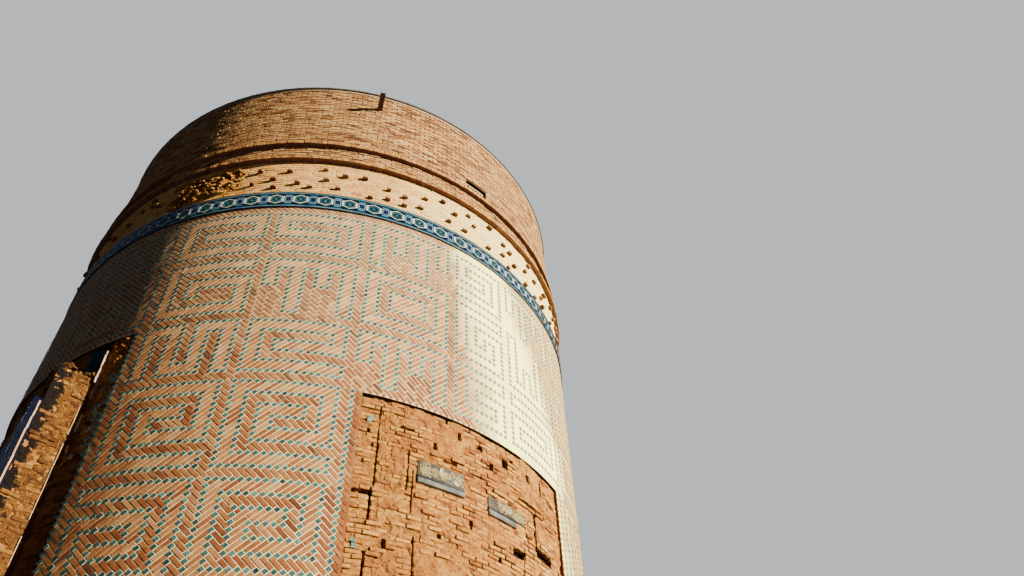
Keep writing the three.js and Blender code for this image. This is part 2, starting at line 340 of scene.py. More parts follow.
def square_glaze():
    """Turquoise-green glaze on the small squares, worn through to the body in spots."""
    f = Finish("square_glaze", roughness=0.3)
    tone = f.sum("ADD", f.attribute("tone"), f.spread(f.noise(40, 3), 0.3, 0.7, -0.15, 0.15))
    base = f.tones(tone, (0.0, 112, 160, 146), (0.4, 62, 108, 98), (0.7, 42, 78, 74), (1.0, 24, 48, 52))
    base = f.patches(base, (9, 3), 0.5, 0.62, (70, 92, 102), 0.5)
    worn = f.spread(f.noise(75, 5, 0.7), 0.6, 0.66)
    base = f.mix(worn, base, colour(206, 180, 140))
    rough = f.spread(worn, 0, 1, 0.28, 0.9)
    # The squares are painted paler in the painted highlight
    base = f.mix(f.sum("MULTIPLY", f.painted_highlight_share(), 0.35), base, colour(216, 226, 196))
    bed = f.spread(f.attribute("rim"), 0.6, 0.8)
    base = f.mix(bed, base, f.mix(f.noise(12, 3), colour(206, 230, 204), colour(240, 240, 212)))
    rough = f.sum("MAXIMUM", rough, f.sum("MULTIPLY", bed, 0.9))
    return f.coat(base, rough, f.noise(90, 4), distance=0.0015)


def mortar(name, shade=WHOLE, highlight_strength=0.0):
    """Lime mortar of the bed, tinted by shade. Painted shade darkens it deep within the wall and a painted
    shadow line runs under each overhang; it is plastered in the chamber, and it may take the painted
    highlight.
    """
    f = Finish(name)
    base = f.tones(f.noise(9, 6, 0.7), (0.3, 206, 176, 132), (0.5, 234, 218, 178), (0.7, 246, 238, 210))
    base = f.mix(1.0, base, shade, "MULTIPLY")
    if highlight_strength:
        # Painted highlight, as on the bricks
        base = f.mix(f.sum("MULTIPLY", f.painted_highlight_share(), highlight_strength), base, PAINTED_HIGHLIGHT)
        base = f.mix(f.off_panel(), colour(150, 96, 52), base)
        base = f.patches(base, (1.7, 4), 0.5, 0.7, (196, 208, 180), 0.35)
    # A thin painted shadow line under each overhang of facing
    for overhang in (PANEL_TOP, RECESS_TOP):
        below = f.spread(f.height(), overhang + 0.012, overhang + 0.003)
        above = f.spread(f.height(), overhang - 0.01, overhang - 0.005)
        base = f.mix(f.sum("MULTIPLY", below, above), base, colour(58, 36, 24))
    # Painted shade: the mortar goes dark deeper in than the strip's face, in holes, pockets and the vents'
    # sides
    base = f.mix(f.spread(f.from_axis(), STRIP_RADIUS - 0.02, STRIP_RADIUS - 0.04), base, colour(44, 28, 20))
    return f.coat(f.plastered(base), relief=f.noise(55, 8, 0.8), distance=0.008)


def rubble(name, shaded_from=None, gap_shadow_from=None, shade=WHOLE, specked=0.45):
    """The rough core of the wall, where its facing has gone. Painted shade darkens it inwards of a given
    radius, in its hollows, and a near-black painted shadow lies along the broken edge past a given depth of
    a portal."""
    f = Finish(name)
    base = f.tones(f.noise(7, 8, 0.7), (0.36, 116, 66, 32), (0.46, 184, 122, 54), (0.56, 212, 154, 74),
                   (0.68, 232, 186, 104))
    base = f.patches(base, (1.1, 5), 0.42, 0.62, (180, 114, 54), 0.6)
    base = f.patches(base, (17, 6, 0.7), 0.42, 0.36, (80, 46, 26), 0.8)
    base = f.patches(base, (46, 4, 0.7), specked, specked - 0.06, (70, 40, 24), 0.75)
    base = f.mix(1.0, base, shade, "MULTIPLY")
    # Painted shade in the hollows, inwards of the given radius
    if shaded_from:
        ragged = f.spread(f.noise(40, 4), 0, 1, -0.012, 0.012)
        deep = f.spread(f.sum("ADD", f.from_axis(), ragged), shaded_from, shaded_from - 0.03)
        base = f.mix(deep, base, colour(52, 30, 20))
    # A near-black painted shadow along the broken edge between the flank and the slab
    if gap_shadow_from:
        ragged = f.spread(f.noise(4.5, 6, 0.7), 0.3, 0.7, -0.11, 0.11)
        painted_gap_shadow = f.spread(f.sum("ADD", f.sum("ABSOLUTE", f.axis("Y")), ragged), gap_shadow_from, gap_shadow_from + 0.03)
        base = f.mix(painted_gap_shadow, base, colour(18, 10, 8))
    relief = f.sum("ADD", f.noise(22, 10, 0.8), f.noise(3.5, 5, 0.6))
    return f.coat(f.plastered(base), relief=relief, distance=0.03)


def tile_glaze(name, light, deep, crazed=0.25, gloss=0.5):
    """Glaze of the band and the slabs: two near tones, fine crazing and chips."""
    f = Finish(name, roughness=0.22)
    f.shader["Specular IOR Level"].default_value = gloss
    base = f.mix(f.spread(f.noise(6, 4), 0.35, 0.65), colour(*light), colour(*deep))
    base = f.mix(f.spread(f.cracks(150), 0, 0.06, crazed, 0), base, colour(60, 66, 60))
    chipped = f.spread(f.noise(28, 6, 0.7), 0.66, 0.7)
    base = f.mix(chipped, base, colour(205, 182, 148))
    return f.coat(base, f.spread(chipped, 0, 1, 0.2, 0.9), f.noise(35, 5), distance=0.002)


def stone():
    f = Finish("plinth_limestone")
    base = f.tones(f.noise(3.5, 8, 0.7), (0.3, 150, 138, 118), (0.5, 186, 174, 150), (0.72, 212, 202, 180))
    split = f.sum("LESS_THAN", f.cracks(1.1, (1, 1, 3.4)), 0.012)
    base = f.mix(f.sum("MULTIPLY", split, 0.7), base, colour(96, 84, 68))
    base = f.mix(f.spread(f.attribute("tone"), 0, 1, 0, 0.6), base, colour(150, 132, 104))
    return f.coat(base, relief=f.noise(30, 8, 0.75), distance=0.012)


def paving():
    f = Finish("paving_brick")
    courses = f.node("ShaderNodeTexBrick", {
        "Vector": f.where, "Scale": 1.0, "Mortar Size": 0.008, "Brick Width": 0.24, "Row Height": 0.24,
        "Color1": colour(178, 136, 96), "Color2": colour(150, 108, 74), "Mortar": colour(196, 178, 146),
    }, offset=0.5).node.outputs
    base = f.patches(courses["Color"], (2.2, 6), 0.45, 0.7, (206, 184, 150), 0.5)
    return f.coat(base, relief=f.sum("SUBTRACT", f.noise(40, 6, 0.7), courses["Fac"]), distance=0.006)


def sheet_metal(name, light, deep, rust, metallic):
    f = Finish(name, roughness=0.55, metallic=metallic)
    base = f.mix(f.spread(f.noise(2.5, 6), 0.35, 0.65), colour(*light), colour(*deep))
    base = f.patches(base, (6, 8, 0.75), 0.5, 0.62, rust)
    return f.coat(base, f.spread(f.noise(12, 5), 0.3, 0.7, 0.4, 0.85), f.noise(18, 6), distance=0.004)


# Laid blocks: a point for each, and the tree that sets a block on each point

class Lay:
    """Places for blocks, with what the tree needs to know of each."""

    def __init__(self):
        self.rows = []

    def add(self, spot, slope, block, tone, fit=(1, 1, 1), glazed=0):
        place, outward, right = spot
        along = right * math.cos(slope) + Vector((0, 0, math.sin(slope)))
        self.rows.append((place, outward, along, fit, block, tone, glazed))

    def mesh(self, name):
        places, *columns = zip(*self.rows)
        mesh = bpy.data.meshes.new(name)
        mesh.from_pydata(places, [], [])
        labels = ("outward", "along", "fit", "block", "tone", "glazed")
        kinds = ("FLOAT_VECTOR", "FLOAT_VECTOR", "FLOAT_VECTOR", "INT", "FLOAT", "FLOAT")
        for label, kind, values in zip(labels, kinds, columns):
            layer = mesh.attributes.new(label, kind, "POINT").data
            if kind == "FLOAT_VECTOR":
                layer.foreach_set("vector", np.array([tuple(value) for value in values], np.float32).ravel())
            else:
                layer.foreach_set("value", values)
        return mesh


class Growth(Wiring):
    """A Geometry Nodes tree with named inputs, run over a mesh to give a plain one."""

    def __init__(self, name, **inputs):
        super().__init__(bpy.data.node_groups.new(name, "GeometryNodeTree"))
        sockets = self.tree.interface
        sockets.new_socket("Geometry", in_out="OUTPUT", socket_type="NodeSocketGeometry")
        self.ids = {}
        for label, kind in {"Geometry": "Geometry", **inputs}.items():
            label = label.replace("_", " ")
            socket = sockets.new_socket(label, in_out="INPUT", socket_type=f"NodeSocket{kind}")
            self.ids[label] = socket.identifier
        self.given = self.tree.nodes.new("NodeGroupInput").outputs

    def named(self, name, kind):
        return self.node("GeometryNodeInputNamedAttribute", {"Name": name}, "Attribute", data_type=kind)

    def finish(self, instances, look):
        """Makes the instances real and gives them their look."""
        whole = self.node("GeometryNodeRealizeInstances", {"Geometry": instances})
        return self.node("GeometryNodeSetMaterial", {"Geometry": whole, "Material": look})

    def end(self, geometry):
        self.tree.links.new(geometry, self.tree.nodes.new("NodeGroupOutput").inputs["Geometry"])

    def run(self, name, mesh, inputs):
        carrier = in_scene(name, mesh)
        modifier = carrier.modifiers.new("grow", "NODES")
        modifier.node_group = self.tree
        for label, value in inputs.items():
            modifier[self.ids[label]] = value
        result = evaluated_mesh(carrier)
        carrier.modifiers.remove(modifier)
        bpy.data.objects.remove(carrier)
        bpy.data.meshes.remove(mesh)
        result.name = name
        return result


def in_scene(name, data):
    thing = bpy.data.objects.new(name, data)
    bpy.context.scene.collection.objects.link(thing)
    return thing


def evaluated_mesh(carrier):
    bpy.context.view_layer.update()
    evaluated = carrier.evaluated_get(bpy.context.evaluated_depsgraph_get())
    return bpy.data.meshes.new_from_object(evaluated)


def laying_tree():
    """Sets one block of the collection on each point, with a little tilt and depth of its own."""
    g = Growth("lay_blocks", Blocks="Collection", Tilt="Float", Depth_spread="Float", Seed="Int",
               Brick="Material", Glaze="Material")
    outward = g.named("outward", "FLOAT_VECTOR")
    axes = {"Primary Axis": outward, "Secondary Axis": g.named("along", "FLOAT_VECTOR")}
    turn = g.node("FunctionNodeAxesToRotation", axes, primary_axis="Z", secondary_axis="X")
    sway = g.node("FunctionNodeRandomValue", {"Min": (-1, -1, -1), "Seed": g.given["Seed"]},
                  data_type="FLOAT_VECTOR")
    tilt = g.node("ShaderNodeVectorMath", {0: sway, "Scale": g.given["Tilt"]}, operation="SCALE")
    lean = g.node("FunctionNodeRotateRotation", {"Rotation": turn, "Rotate By": tilt},
                  rotation_space="LOCAL")
    depth = g.node("FunctionNodeRandomValue", {2: -1, 3: 1, "Seed": g.given["Seed"]}, 1, data_type="FLOAT")
    reach = g.node("ShaderNodeMath", {0: depth, 1: g.given["Depth spread"]}, operation="MULTIPLY")
    push = g.node("ShaderNodeVectorMath", {0: outward, "Scale": reach}, operation="SCALE")
    points = g.node("GeometryNodeSetPosition", {"Geometry": g.given["Geometry"], "Offset": push})
    blocks = g.node("GeometryNodeCollectionInfo", {
        "Collection": g.given["Blocks"], "Separate Children": True, "Reset Children": True})
    laid = g.node("GeometryNodeInstanceOnPoints", {
        "Points": points, "Instance": blocks, "Pick Instance": True, "Rotation": lean,
        "Instance Index": g.named("block", "INT"), "Scale": g.named("fit", "FLOAT_VECTOR")})
    brick = g.finish(laid, g.given["Brick"])
    is_glazed = g.node("FunctionNodeCompare", {0: g.named("glazed", "FLOAT"), 1: 0.5},
                       data_type="FLOAT", operation="GREATER_THAN")
    g.end(g.node("GeometryNodeSetMaterial", {
        "Geometry": brick, "Selection": is_glazed, "Material": g.given["Glaze"]}))
    return g


def turning_tree():
    """Repeats one part round the tower's axis."""
    g = Growth("turn_round", Count="Int", Start="Float", Finish="Material")
    points = g.node("GeometryNodeMeshLine", {"Offset": (0, 0, 0), "Count": g.given["Count"]})
    share = g.node("ShaderNodeMath", {0: math.tau, 1: g.given["Count"]}, operation="DIVIDE")
    turn = g.node("ShaderNodeMath", {0: g.node("GeometryNodeInputIndex"), 1: share, 2: g.given["Start"]},
                  operation="MULTIPLY_ADD")
    about = g.node("ShaderNodeCombineXYZ", {"Z": turn})
    placed = g.node("GeometryNodeInstanceOnPoints", {
        "Points": points, "Instance": g.given["Geometry"], "Rotation": about})
    g.end(g.finish(placed, g.given["Finish"]))
    return g


LAYING = laying_tree()
TURNING = turning_tree()


def keep(name, mesh, slot, *replaced):
    """A finished mesh becomes a piece of the tower."""
    piece = in_scene(name, mesh)
    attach(piece, "root")
    if replaced:
        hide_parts(*replaced)


def keep_laid(name, lay, slot, blocks, looks, tilt, depth, seed):
    """Lays the blocks and keeps them as one piece. The looks are one for all, or brick and glaze."""
    brick, glaze = looks if isinstance(looks, tuple) else (looks, looks)
    inputs = {"Blocks": blocks, "Tilt": tilt, "Depth spread": depth, "Seed": seed,
              "Brick": brick, "Glaze": glaze}
    keep(name, LAYING.run(name, lay.mesh(name), inputs), slot)


def keep_turned(name, mesh, slot, count, start, look):
    """Repeats a mesh round the tower and keeps it as one piece."""
    keep(name, TURNING.run(name, mesh, {"Count": count, "Start": start, "Finish": look}), slot)


# Closed shapes

def ring(solid, corners):
    """New corners of the solid, in a row."""
    return [solid.verts.new(corner) for corner in corners]


def bridge(solid, here, there):
    """Faces all round between two rings of as many corners."""
    for i in range(len(here)):
        j = (i + 1) % len(here)
        solid.faces.new((here[i], there[i], there[j], here[j]))


def tube(solid, rings):
    """Closes a row of rings into one shape with two ends."""
    for here, there in zip(rings, rings[1:]):
        bridge(solid, here, there)
    solid.faces.new(rings[0])
    solid.faces.new(rings[-1])


def add_plate(solid, place, outline, face, foot, inner=None, inner_face=0.0):
    """A thin plate of the given outline, or a frame round an inner outline of as many corners. place sets
    a point of the flat design where it belongs."""
    top, bottom = (ring(solid, [place(x, y, z) for x, y in outline]) for z in (face, foot))
    if inner:
        in_top, in_bottom = (ring(solid, [place(x, y, z) for x, y in inner]) for z in (inner_face, foot))
        bridge(solid, top, in_top)
        bridge(solid, in_top, in_bottom)
        bridge(solid, in_bottom, bottom)
    else:
        solid.faces.new(top)
        solid.faces.new(bottom[::-1])
    bridge(solid, bottom, top)


def closed_mesh(name, solid, look=None):
    """A mesh of the shape, with its faces outwards."""
    bmesh.ops.recalc_face_normals(solid, faces=solid.faces)
    mesh = bpy.data.meshes.new(name)
    solid.to_mesh(mesh)
    solid.free()
    if look:
        mesh.materials.append(look)
    return mesh


def block_mesh(name, length, width, depth, chamfer, wear, seed, rough=True, rim=0.8):
    """A block with its face at z = 0. Its arrises are cut and its corners worn by chance. Its rim attribute
    is 0 on the face, rim on the arrises and 1 at the back."""
    draw = random.Random(seed)
    x, y = length / 2, width / 2
    corners = ((-x, -y), (x, -y), (x, y), (-x, y))
    points = [(u, v, -depth) for u, v in corners]
    face = []
    for u, v in corners:
        lost = chamfer + draw.uniform(0, wear)
        points.append((u, v, -lost - draw.uniform(0, wear)))
        inset = (u - math.copysign(lost, u), v - math.copysign(lost, v))
        face.append((*inset, -draw.uniform(0, wear * 0.4)))
    points += face
    faces = []
    for i in range(4):
        j = (i + 1) % 4
        faces.append((i, j, 4 + j, 4 + i))
        faces.append((4 + i, 4 + j, 8 + j, 8 + i))
    if rough:
        points.append((draw.uniform(-x, x) * 0.4, draw.uniform(-y, y) * 0.3, draw.uniform(-0.4, 1) * wear))
        faces += [(8 + i, 8 + (i + 1) % 4, 12) for i in range(4)]
    else:
        faces.append((8, 9, 10, 11))
    faces.append((3, 2, 1, 0))
    rims = [1.0] * 4 + [rim] * 4 + [0.0] * (len(points) - 8)
    return mesh_with_rim(name, points, faces, rims)


def mesh_with_rim(name, points, faces, rims):
    mesh = bpy.data.meshes.new(name)
    mesh.from_pydata(points, [], faces)
    mesh.attributes.new("rim", "FLOAT", "POINT").data.foreach_set("value", rims)
    return mesh


def block_set(name, shapes):
    """A collection of blocks, in the order of their numbers; it isn't part of the scene."""
    group = bpy.data.collections.new(name)
    for number, mesh in enumerate(shapes):
        group.objects.link(bpy.data.objects.new(f"{name}_{number:03d}", mesh))
    return group


def drop(group):
    for item in list(group.objects):
        bpy.data.objects.remove(item)
    bpy.data.collections.remove(group)


FACING_VARIANTS = 4
GLAZED_FIRST = 3 * FACING_VARIANTS
COURSE_VARIANTS = 5
COURSE_HEIGHT = 0.067
COURSE_LENGTH = 0.206
HEADER_WIDTH = 0.1015
HEADER_VARIANTS = 3
STUB_VARIANTS = 4
RUBBLE_VARIANTS = 5
STONE_VARIANTS = 3
RING_FIRST = 2 * COURSE_VARIANTS
LIP_FIRST = RING_FIRST + HEADER_VARIANTS
STUB_FIRST = LIP_FIRST + HEADER_VARIANTS


def facing_blocks():
    width = MODULE - JOINT
    shapes = []
    for modules in (1, 2, 3):
        for number in range(FACING_VARIANTS):
            length = modules * MODULE - JOINT
            shapes.append(block_mesh("facing", length, width, 0.02, 0.0022, 0.003, modules * 10 + number,
                                     rough=False))
    shapes += [glazed_mesh("glazed", width + 0.002, 90 + number) for number in range(FACING_VARIANTS)]
    return block_set("facing_block", shapes)


def glazed_mesh(name, width, seed):
    """A glazed square that stands in a bed of mint mortar. Its rim attribute is 1 on the bed."""
    draw = random.Random(seed)
    bed = -0.0035
    levels = ((MODULE / 2, -0.02, 1), (MODULE / 2, bed, 1), (width / 2, bed, 1), (width / 2 - 0.0015, 0, 0))
    points, rims = [], []
    for half, z, rim in levels:
        for u, v in ((-1, -1), (1, -1), (1, 1), (-1, 1)):
            wear = draw.uniform(0, 0.002) if rim == 0 else 0
            points.append((u * (half - wear), v * (half - wear), z))
            rims.append(float(rim))
    faces = [(3, 2, 1, 0), (12, 13, 14, 15)]
    for low in (0, 4, 8):
        for i in range(4):
            j = (i + 1) % 4
            faces.append((low + i, low + j, low + 4 + j, low + 4 + i))
    return mesh_with_rim(name, points, faces, rims)


def course_blocks():
    """Bricks for plain courses, the same much worn for the bare core, and headers for rings and stubs."""
    ring_height, lip_height = CORBEL_TOP - CORBEL_BOTTOM + 0.008, LIP_TOP - LIP_BOTTOM + 0.008
    shapes = []
    for name, count, seed, length, width, depth, chamfer, wear, *more in (
        ("course", COURSE_VARIANTS, 200, COURSE_LENGTH - 0.012, COURSE_HEIGHT - 0.013, 0.05, 0.003, 0.004),
        ("worn", COURSE_VARIANTS, 300, COURSE_LENGTH - 0.011, COURSE_HEIGHT - 0.010, 0.06, 0.003, 0.009),
        ("ring", HEADER_VARIANTS, 400, HEADER_WIDTH, ring_height, 0.13, 0.003, 0.005, False),
        ("lip", HEADER_VARIANTS, 500, HEADER_WIDTH, lip_height, 0.09, 0.003, 0.005, False),
        # Stubs carry a high rim value on their arrises, so their sides and undersides take more painted
        # shade
        ("stub", STUB_VARIANTS, 520, 0.094, 0.054, 0.12, 0.006, 0.012, True, 0.85),
    ):
        shapes += [block_mesh(name, length, width, depth, chamfer, wear, seed + number, *more)
                   for number in range(count)]
    return block_set("course_block", shapes)


# The fret of the facing: figures stand in blocks between plain lanes

HALF_UNITS = 82
LANES_ROUND = (2, 6, 14, 22, 30, 38)
LANES_DOWN = (0, 6, 13, 19, 27, 35, 43, 51, 59, 65)
PORTAL_EDGE = 54
PANEL_EDGE = 122
PANEL_LAST = 124
PORTAL_LAST_ROW = 54
PANEL_LAST_ROW = 79
LAST_ROW = 258
GROUND, FIGURE, GLAZED = 0, 1, 2


def nested(width, height):
    return {(x, y) for x in range(width) for y in range(height)
            if min(x, width - 1 - x, y, height - 1 - y) % 2 == 0}


def spiral(width, height):
    x, y, step_x, step_y = 0, 0, 1, 0
    path = {(0, 0)}
    turns = 0
    while turns < 2:
        ahead = (x + step_x, y + step_y)
        around = {(ahead[0] + u, ahead[1] + v) for u, v in ((1, 0), (-1, 0), (0, 1), (0, -1))}
        inside = 0 <= ahead[0] < width and 0 <= ahead[1] < height
        if inside and around & path == {(x, y)}:
            x, y = ahead
            path.add(ahead)
            turns = 0
        else:
            step_x, step_y = -step_y, step_x
            turns += 1
    return path


def meander(width, height):
    path = {(x, y) for x in range(0, width, 2) for y in range(height)}
    for x in range(1, width, 2):
        path.add((x, 0 if x % 4 == 1 else height - 1))
    return path


def comb(width, height):
    path = {(x, height - 1) for x in range(width)}
    for x in range(0, width, 2):
        path |= {(x, y) for y in range(0 if x % 4 == 0 else height // 2, height)}
    return path


def twin(width, height):
    left = (width - 1) // 2
    path = nested(left, height)
    path |= {(x + left + 1, y) for x, y in spiral(width - left - 1, height)}
    return path


MOTIFS = (spiral, nested, meander, comb, twin, spiral)


def fret():
    """The units of the fret that are figures, as pairs of place round and row down."""
    lanes = sorted({(half + lane) % (2 * HALF_UNITS)
                    for half in (0, HALF_UNITS) for lane in (*LANES_ROUND, *(-l for l in LANES_ROUND))})
    draw = random.Random(41)
    figures = set()
    for start, end in zip(lanes, lanes[1:] + [lanes[0] + 2 * HALF_UNITS]):
        for top, bottom in zip(LANES_DOWN, LANES_DOWN[1:]):
            width, height = end - start - 1, bottom - top - 1
            motif = draw.choice(MOTIFS) if width > 3 else draw.choice((nested, meander, spiral))
            flip_x, flip_y = draw.random() < 0.5, draw.random() < 0.5
            for x, y in motif(width, height):
                x = width - 1 - x if flip_x else x
                y = height - 1 - y if flip_y else y
                figures.add(((start + 1 + x) % (2 * HALF_UNITS), top + 1 + y))
    return figures


def fold(a):
    """How many grid steps a is from the nearer portal's axis."""
    a = a % HALF_TURN
    return min(a, HALF_TURN - a)


def cell_kinds():
    figures = fret()

    def kind(a, b):
        near = fold(a)
        if near < PORTAL_EDGE and b > PORTAL_LAST_ROW or near > PANEL_LAST and b > PANEL_LAST_ROW:
            return None
        if near == PORTAL_EDGE and b > PORTAL_LAST_ROW or near == PANEL_EDGE and b > PANEL_LAST_ROW:
            return GLAZED
        if near > PANEL_EDGE and b > PANEL_LAST_ROW:
            return GROUND
        columns = ((a - 2) // 4, (a + 2) // 4) if a % 4 == 2 else ((a + 2) // 4,)
        rows = (b // 4 - 1, b // 4) if b % 4 == 0 else (b // 4,)
        found = {(k % (2 * HALF_UNITS), v) in figures for k in columns for v in rows}
        if len(found) == 2:
            return GLAZED
        return FIGURE if found == {True} else GROUND

    return {(a, b): kind(a, b) for a in range(GRID_STEPS) for b in range(LAST_ROW + 1) if (a - b) % 2 == 0}


def facing_pieces():
    """Each brick of the facing as its middle on the grid, its length in modules and its kind."""
    kinds = cell_kinds()
    pieces = []
    for (a, b), kind in kinds.items():
        if kind == GLAZED:
            pieces.append((a, b, 1, GLAZED))
        if kind not in (FIGURE, GROUND):
            continue
        rise = -1 if kind == FIGURE else 1
        if kinds.get(((a - 1) % GRID_STEPS, b - rise)) == kind:
            continue
        run = 1
        while kinds.get(((a + run) % GRID_STEPS, b + rise * run)) == kind:
            run += 1
        done = 0
        while done < run:
            modules = min(3, run - done)
            middle = done + (modules - 1) / 2
            pieces.append((a + middle, b + rise * middle, modules, kind))
            done += modules
    return pieces


def stretch_of(a):
    """The stretch of wall that a piece of the facing belongs to."""
    near = fold(a)
    azimuth = (a * 360 / GRID_STEPS - 90) % 360
    if near < PORTAL_EDGE:
        return "over_portal_south" if azimuth > 180 else "over_portal_north"
    if near > PANEL_LAST:
        return "over_panel_west" if 90 < azimuth < 270 else "over_panel_east"
    return ("northeast", "northwest", "southwest", "southeast")[int(azimuth // 90)]


def on_grid(a, b, radius):
    """A place on the drum by its grid steps round and its grid rows down."""
    return on_drum(a * 360 / GRID_STEPS - 90, radius, FACING_TOP - b * GRID_ROW)


def add_facing(looks):
    draw = random.Random(5)
    stretches = {}
    for a, b, modules, kind in facing_pieces():
        tone = draw.gauss(0.45, 0.2)
        variant = draw.randrange(FACING_VARIANTS)
        lay = stretches.setdefault(stretch_of(a), Lay())
        spot = on_grid(a, b, FACE_RADIUS)
        slope = math.radians(-45 if kind == GROUND else 45)
        if kind == GLAZED:
            lay.add(spot, slope, GLAZED_FIRST + variant, tone, glazed=1)
            continue
        # Ground bricks are darker and figure bricks paler: partly their own redder and paler tones, partly
        # painted shade and light for how the side light falls across each slope's joints
        tone += 0.09 if kind == GROUND else -0.09
        lay.add(spot, slope, (modules - 1) * FACING_VARIANTS + variant, tone)
    blocks = facing_blocks()
    for name, lay in sorted(stretches.items()):
        keep_laid(f"facing_bricks_{name}", lay, "facing_brick", blocks, looks,
                  tilt=0.006, depth=0.0012, seed=3)
    drop(blocks)


# Plain courses: a hole cuts a brick when it takes enough of its height, and short pieces fall out

CUT_SHARE = 0.4
LEAST_PIECE = 0.18


def pieces_left(left, right, low, high, holes):
    """What is left of a brick, as stretches of azimuth, where holes cut through its course."""
    left_over = [(left, right)]
    for start, end, bottom, top in holes:
        if min(high, top) - max(low, bottom) < CUT_SHARE * (high - low):
            continue
        cut = []
        for one, other in left_over:
            if end <= one or start >= other:
                cut.append((one, other))
                continue
            if one < start:
                cut.append((one, start))
            if other > end:
                cut.append((end, other))
        left_over = cut
    return left_over


def lay_courses(lay, draw, place, bottom, top, start, end, unit=1.0, holes=(), where=None, first=0,
                depth=0.004, tone=0.4, spread=0.15):
    """Running-bond courses over a wall. place tells a spot's point and directions from its distance along
    the wall, its height and how far it stands out. unit is the metres of one step along. first is the
    number of the block set's first shape, and where says which bricks are laid at all."""
    courses = max(1, round((top - bottom) / COURSE_HEIGHT))
    pitch = (top - bottom) / courses
    count = max(1, round((end - start) * unit / COURSE_LENGTH))
    step = (end - start) / count
    closed = end - start == 360
    for row in range(courses):
        low = bottom + row * pitch
        height = low + pitch / 2
        near = [hole for hole in holes if hole[2] < low + pitch and hole[3] > low]
        shift = 0.5 * (row % 2) + draw.uniform(-0.06, 0.06)
        for column in range(count + (0 if closed else 1)):
            left = start + (column + shift - 0.5) * step
            right = left + step
            if not closed:
                left, right = max(start, left), min(end, right)
            variant = first + draw.randrange(COURSE_VARIANTS)
            out, shade = draw.gauss(0, depth), draw.gauss(tone, spread)
            slope, squeeze = draw.gauss(0, 0.006), draw.uniform(0.96, 1.02)
            for one, other in pieces_left(left, right, low, low + pitch, near):
                share = (other - one) / step
                middle = (one + other) / 2
                if share < LEAST_PIECE or where and not where(middle, height):
                    continue
                size = (share * squeeze * step * unit / COURSE_LENGTH, pitch / COURSE_HEIGHT, 1)
                lay.add(place(middle, height, out), slope, variant, shade, size)


def round_wall(radius, radius_above=None, bottom=0, top=1):
    """Places on a round wall by azimuth, height and how far out; it may taper from bottom to top."""
    change = (radius_above or radius) - radius
    return lambda azimuth, z, out: on_drum(azimuth, radius + change * (z - bottom) / (top - bottom) + out, z)


def belt_stubs():
    """Places of the header stubs that once held the belt's lost facing, as azimuth and height. The table
    has those of one side, in turns from its middle and in units of the drum's size."""
    seen = (
        (-8, 2.37), (17, 2.37), (23.5, 2.37), (29.5, 2.385), (44, 2.39), (-21, 2.355), (-15, 2.35),
        (-4, 2.34), (0, 2.35), (13, 2.34), (20, 2.33), (34, 2.35), (5, 2.315), (25, 2.325), (36, 2.33),
        (42, 2.32), (46.5, 2.335), (52, 2.345), (-18, 2.30), (-7.5, 2.305), (8.5, 2.30), (-13, 2.275),
        (-22, 2.275), (33.5, 2.275), (37.5, 2.275), (12, 2.27), (18.5, 2.265), (50, 2.295), (-17.5, 2.25),
        (-10.5, 2.255), (-5, 2.26), (1.5, 2.24), (5, 2.255), (8.5, 2.25), (22.5, 2.26), (29, 2.25),
        (35.5, 2.235), (42, 2.24), (46, 2.23), (50, 2.24), (55, 2.23),
    )
    draw = random.Random(23)
    middle, unit, foot, foot_height = -26.25, 4.726, 2.208, 13.085
    spots = [(turn + middle, foot_height + (z - foot) * unit) for turn, z in seen]
    azimuth, last = 33.0, 290
    while azimuth < last:
        for z in (13.26, 13.42, 13.56, 13.72, 13.87):
            if draw.random() < 0.62:
                spots.append((azimuth + draw.uniform(-2.6, 2.6), z + draw.uniform(-0.05, 0.05)))
        azimuth += 6.4
    return spots


RUIN = (-67, -50.5, 13.16, 14.04)


def ruin_depth(azimuth, z):
    """From 0 on the sound belt to 1 in the middle of its ruined stretch."""
    start, end, low, high = RUIN
    across = (azimuth - (start + end) / 2) / ((end - start) / 2)
    up = (z - (low + high) / 2) / ((high - low) / 2)
    ragged = noise.fractal(Vector((azimuth * DEGREE * 3, z * 3, 2)), 0.7, 2.0, 4)
    return float(step_between(0.9 - max(abs(across), abs(up)) + 0.45 * ragged, 0.05, 0.3))


def add_belt_ruin(brick, blocks, skin):
    """The stretch where the belt is broken to its core: a deep ragged bed with bricks sticking out."""
    start, end, low, high = RUIN
    us, vs = np.linspace(start, end, 110), np.linspace(low, high, 70)
    rough = bumps(us, vs, DEGREE, 8, 4.5, 5)
    deep = np.array([[ruin_depth(u, v) for u in us] for v in vs])
    inwards = np.minimum.outer(np.minimum(vs - low, high - vs), np.minimum(us - start, end - us) * DEGREE)
    deep = deep * np.clip(inwards / 0.03, 0, 1)
    out = np.clip(0.002 - deep * (0.02 - 0.10 * rough), -0.10, 0.045)
    crust("belt_ruin", round_wall(BELT_RADIUS), us, vs, out, -0.16, "core_brick", skin)
    draw = random.Random(61)
    lay = Lay()
    while len(lay.rows) < 150:
        azimuth, z = draw.uniform(start + 0.5, end - 0.5), draw.uniform(low + 0.04, high - 0.04)
        if ruin_depth(azimuth, z) < 0.6:
            continue
        spot = on_drum(azimuth, BELT_RADIUS + draw.uniform(-0.05, 0.05), z)
        lay.add(spot, draw.gauss(0, 0.2), STUB_FIRST + draw.randrange(STUB_VARIANTS),
                draw.gauss(0.15, 0.2),
                (draw.uniform(0.5, 1.5), draw.uniform(0.6, 1.1), draw.uniform(0.5, 1)))
    keep_laid("belt_ruin_bricks", lay, "core_brick", blocks, brick, tilt=0.25, depth=0.004, seed=15)


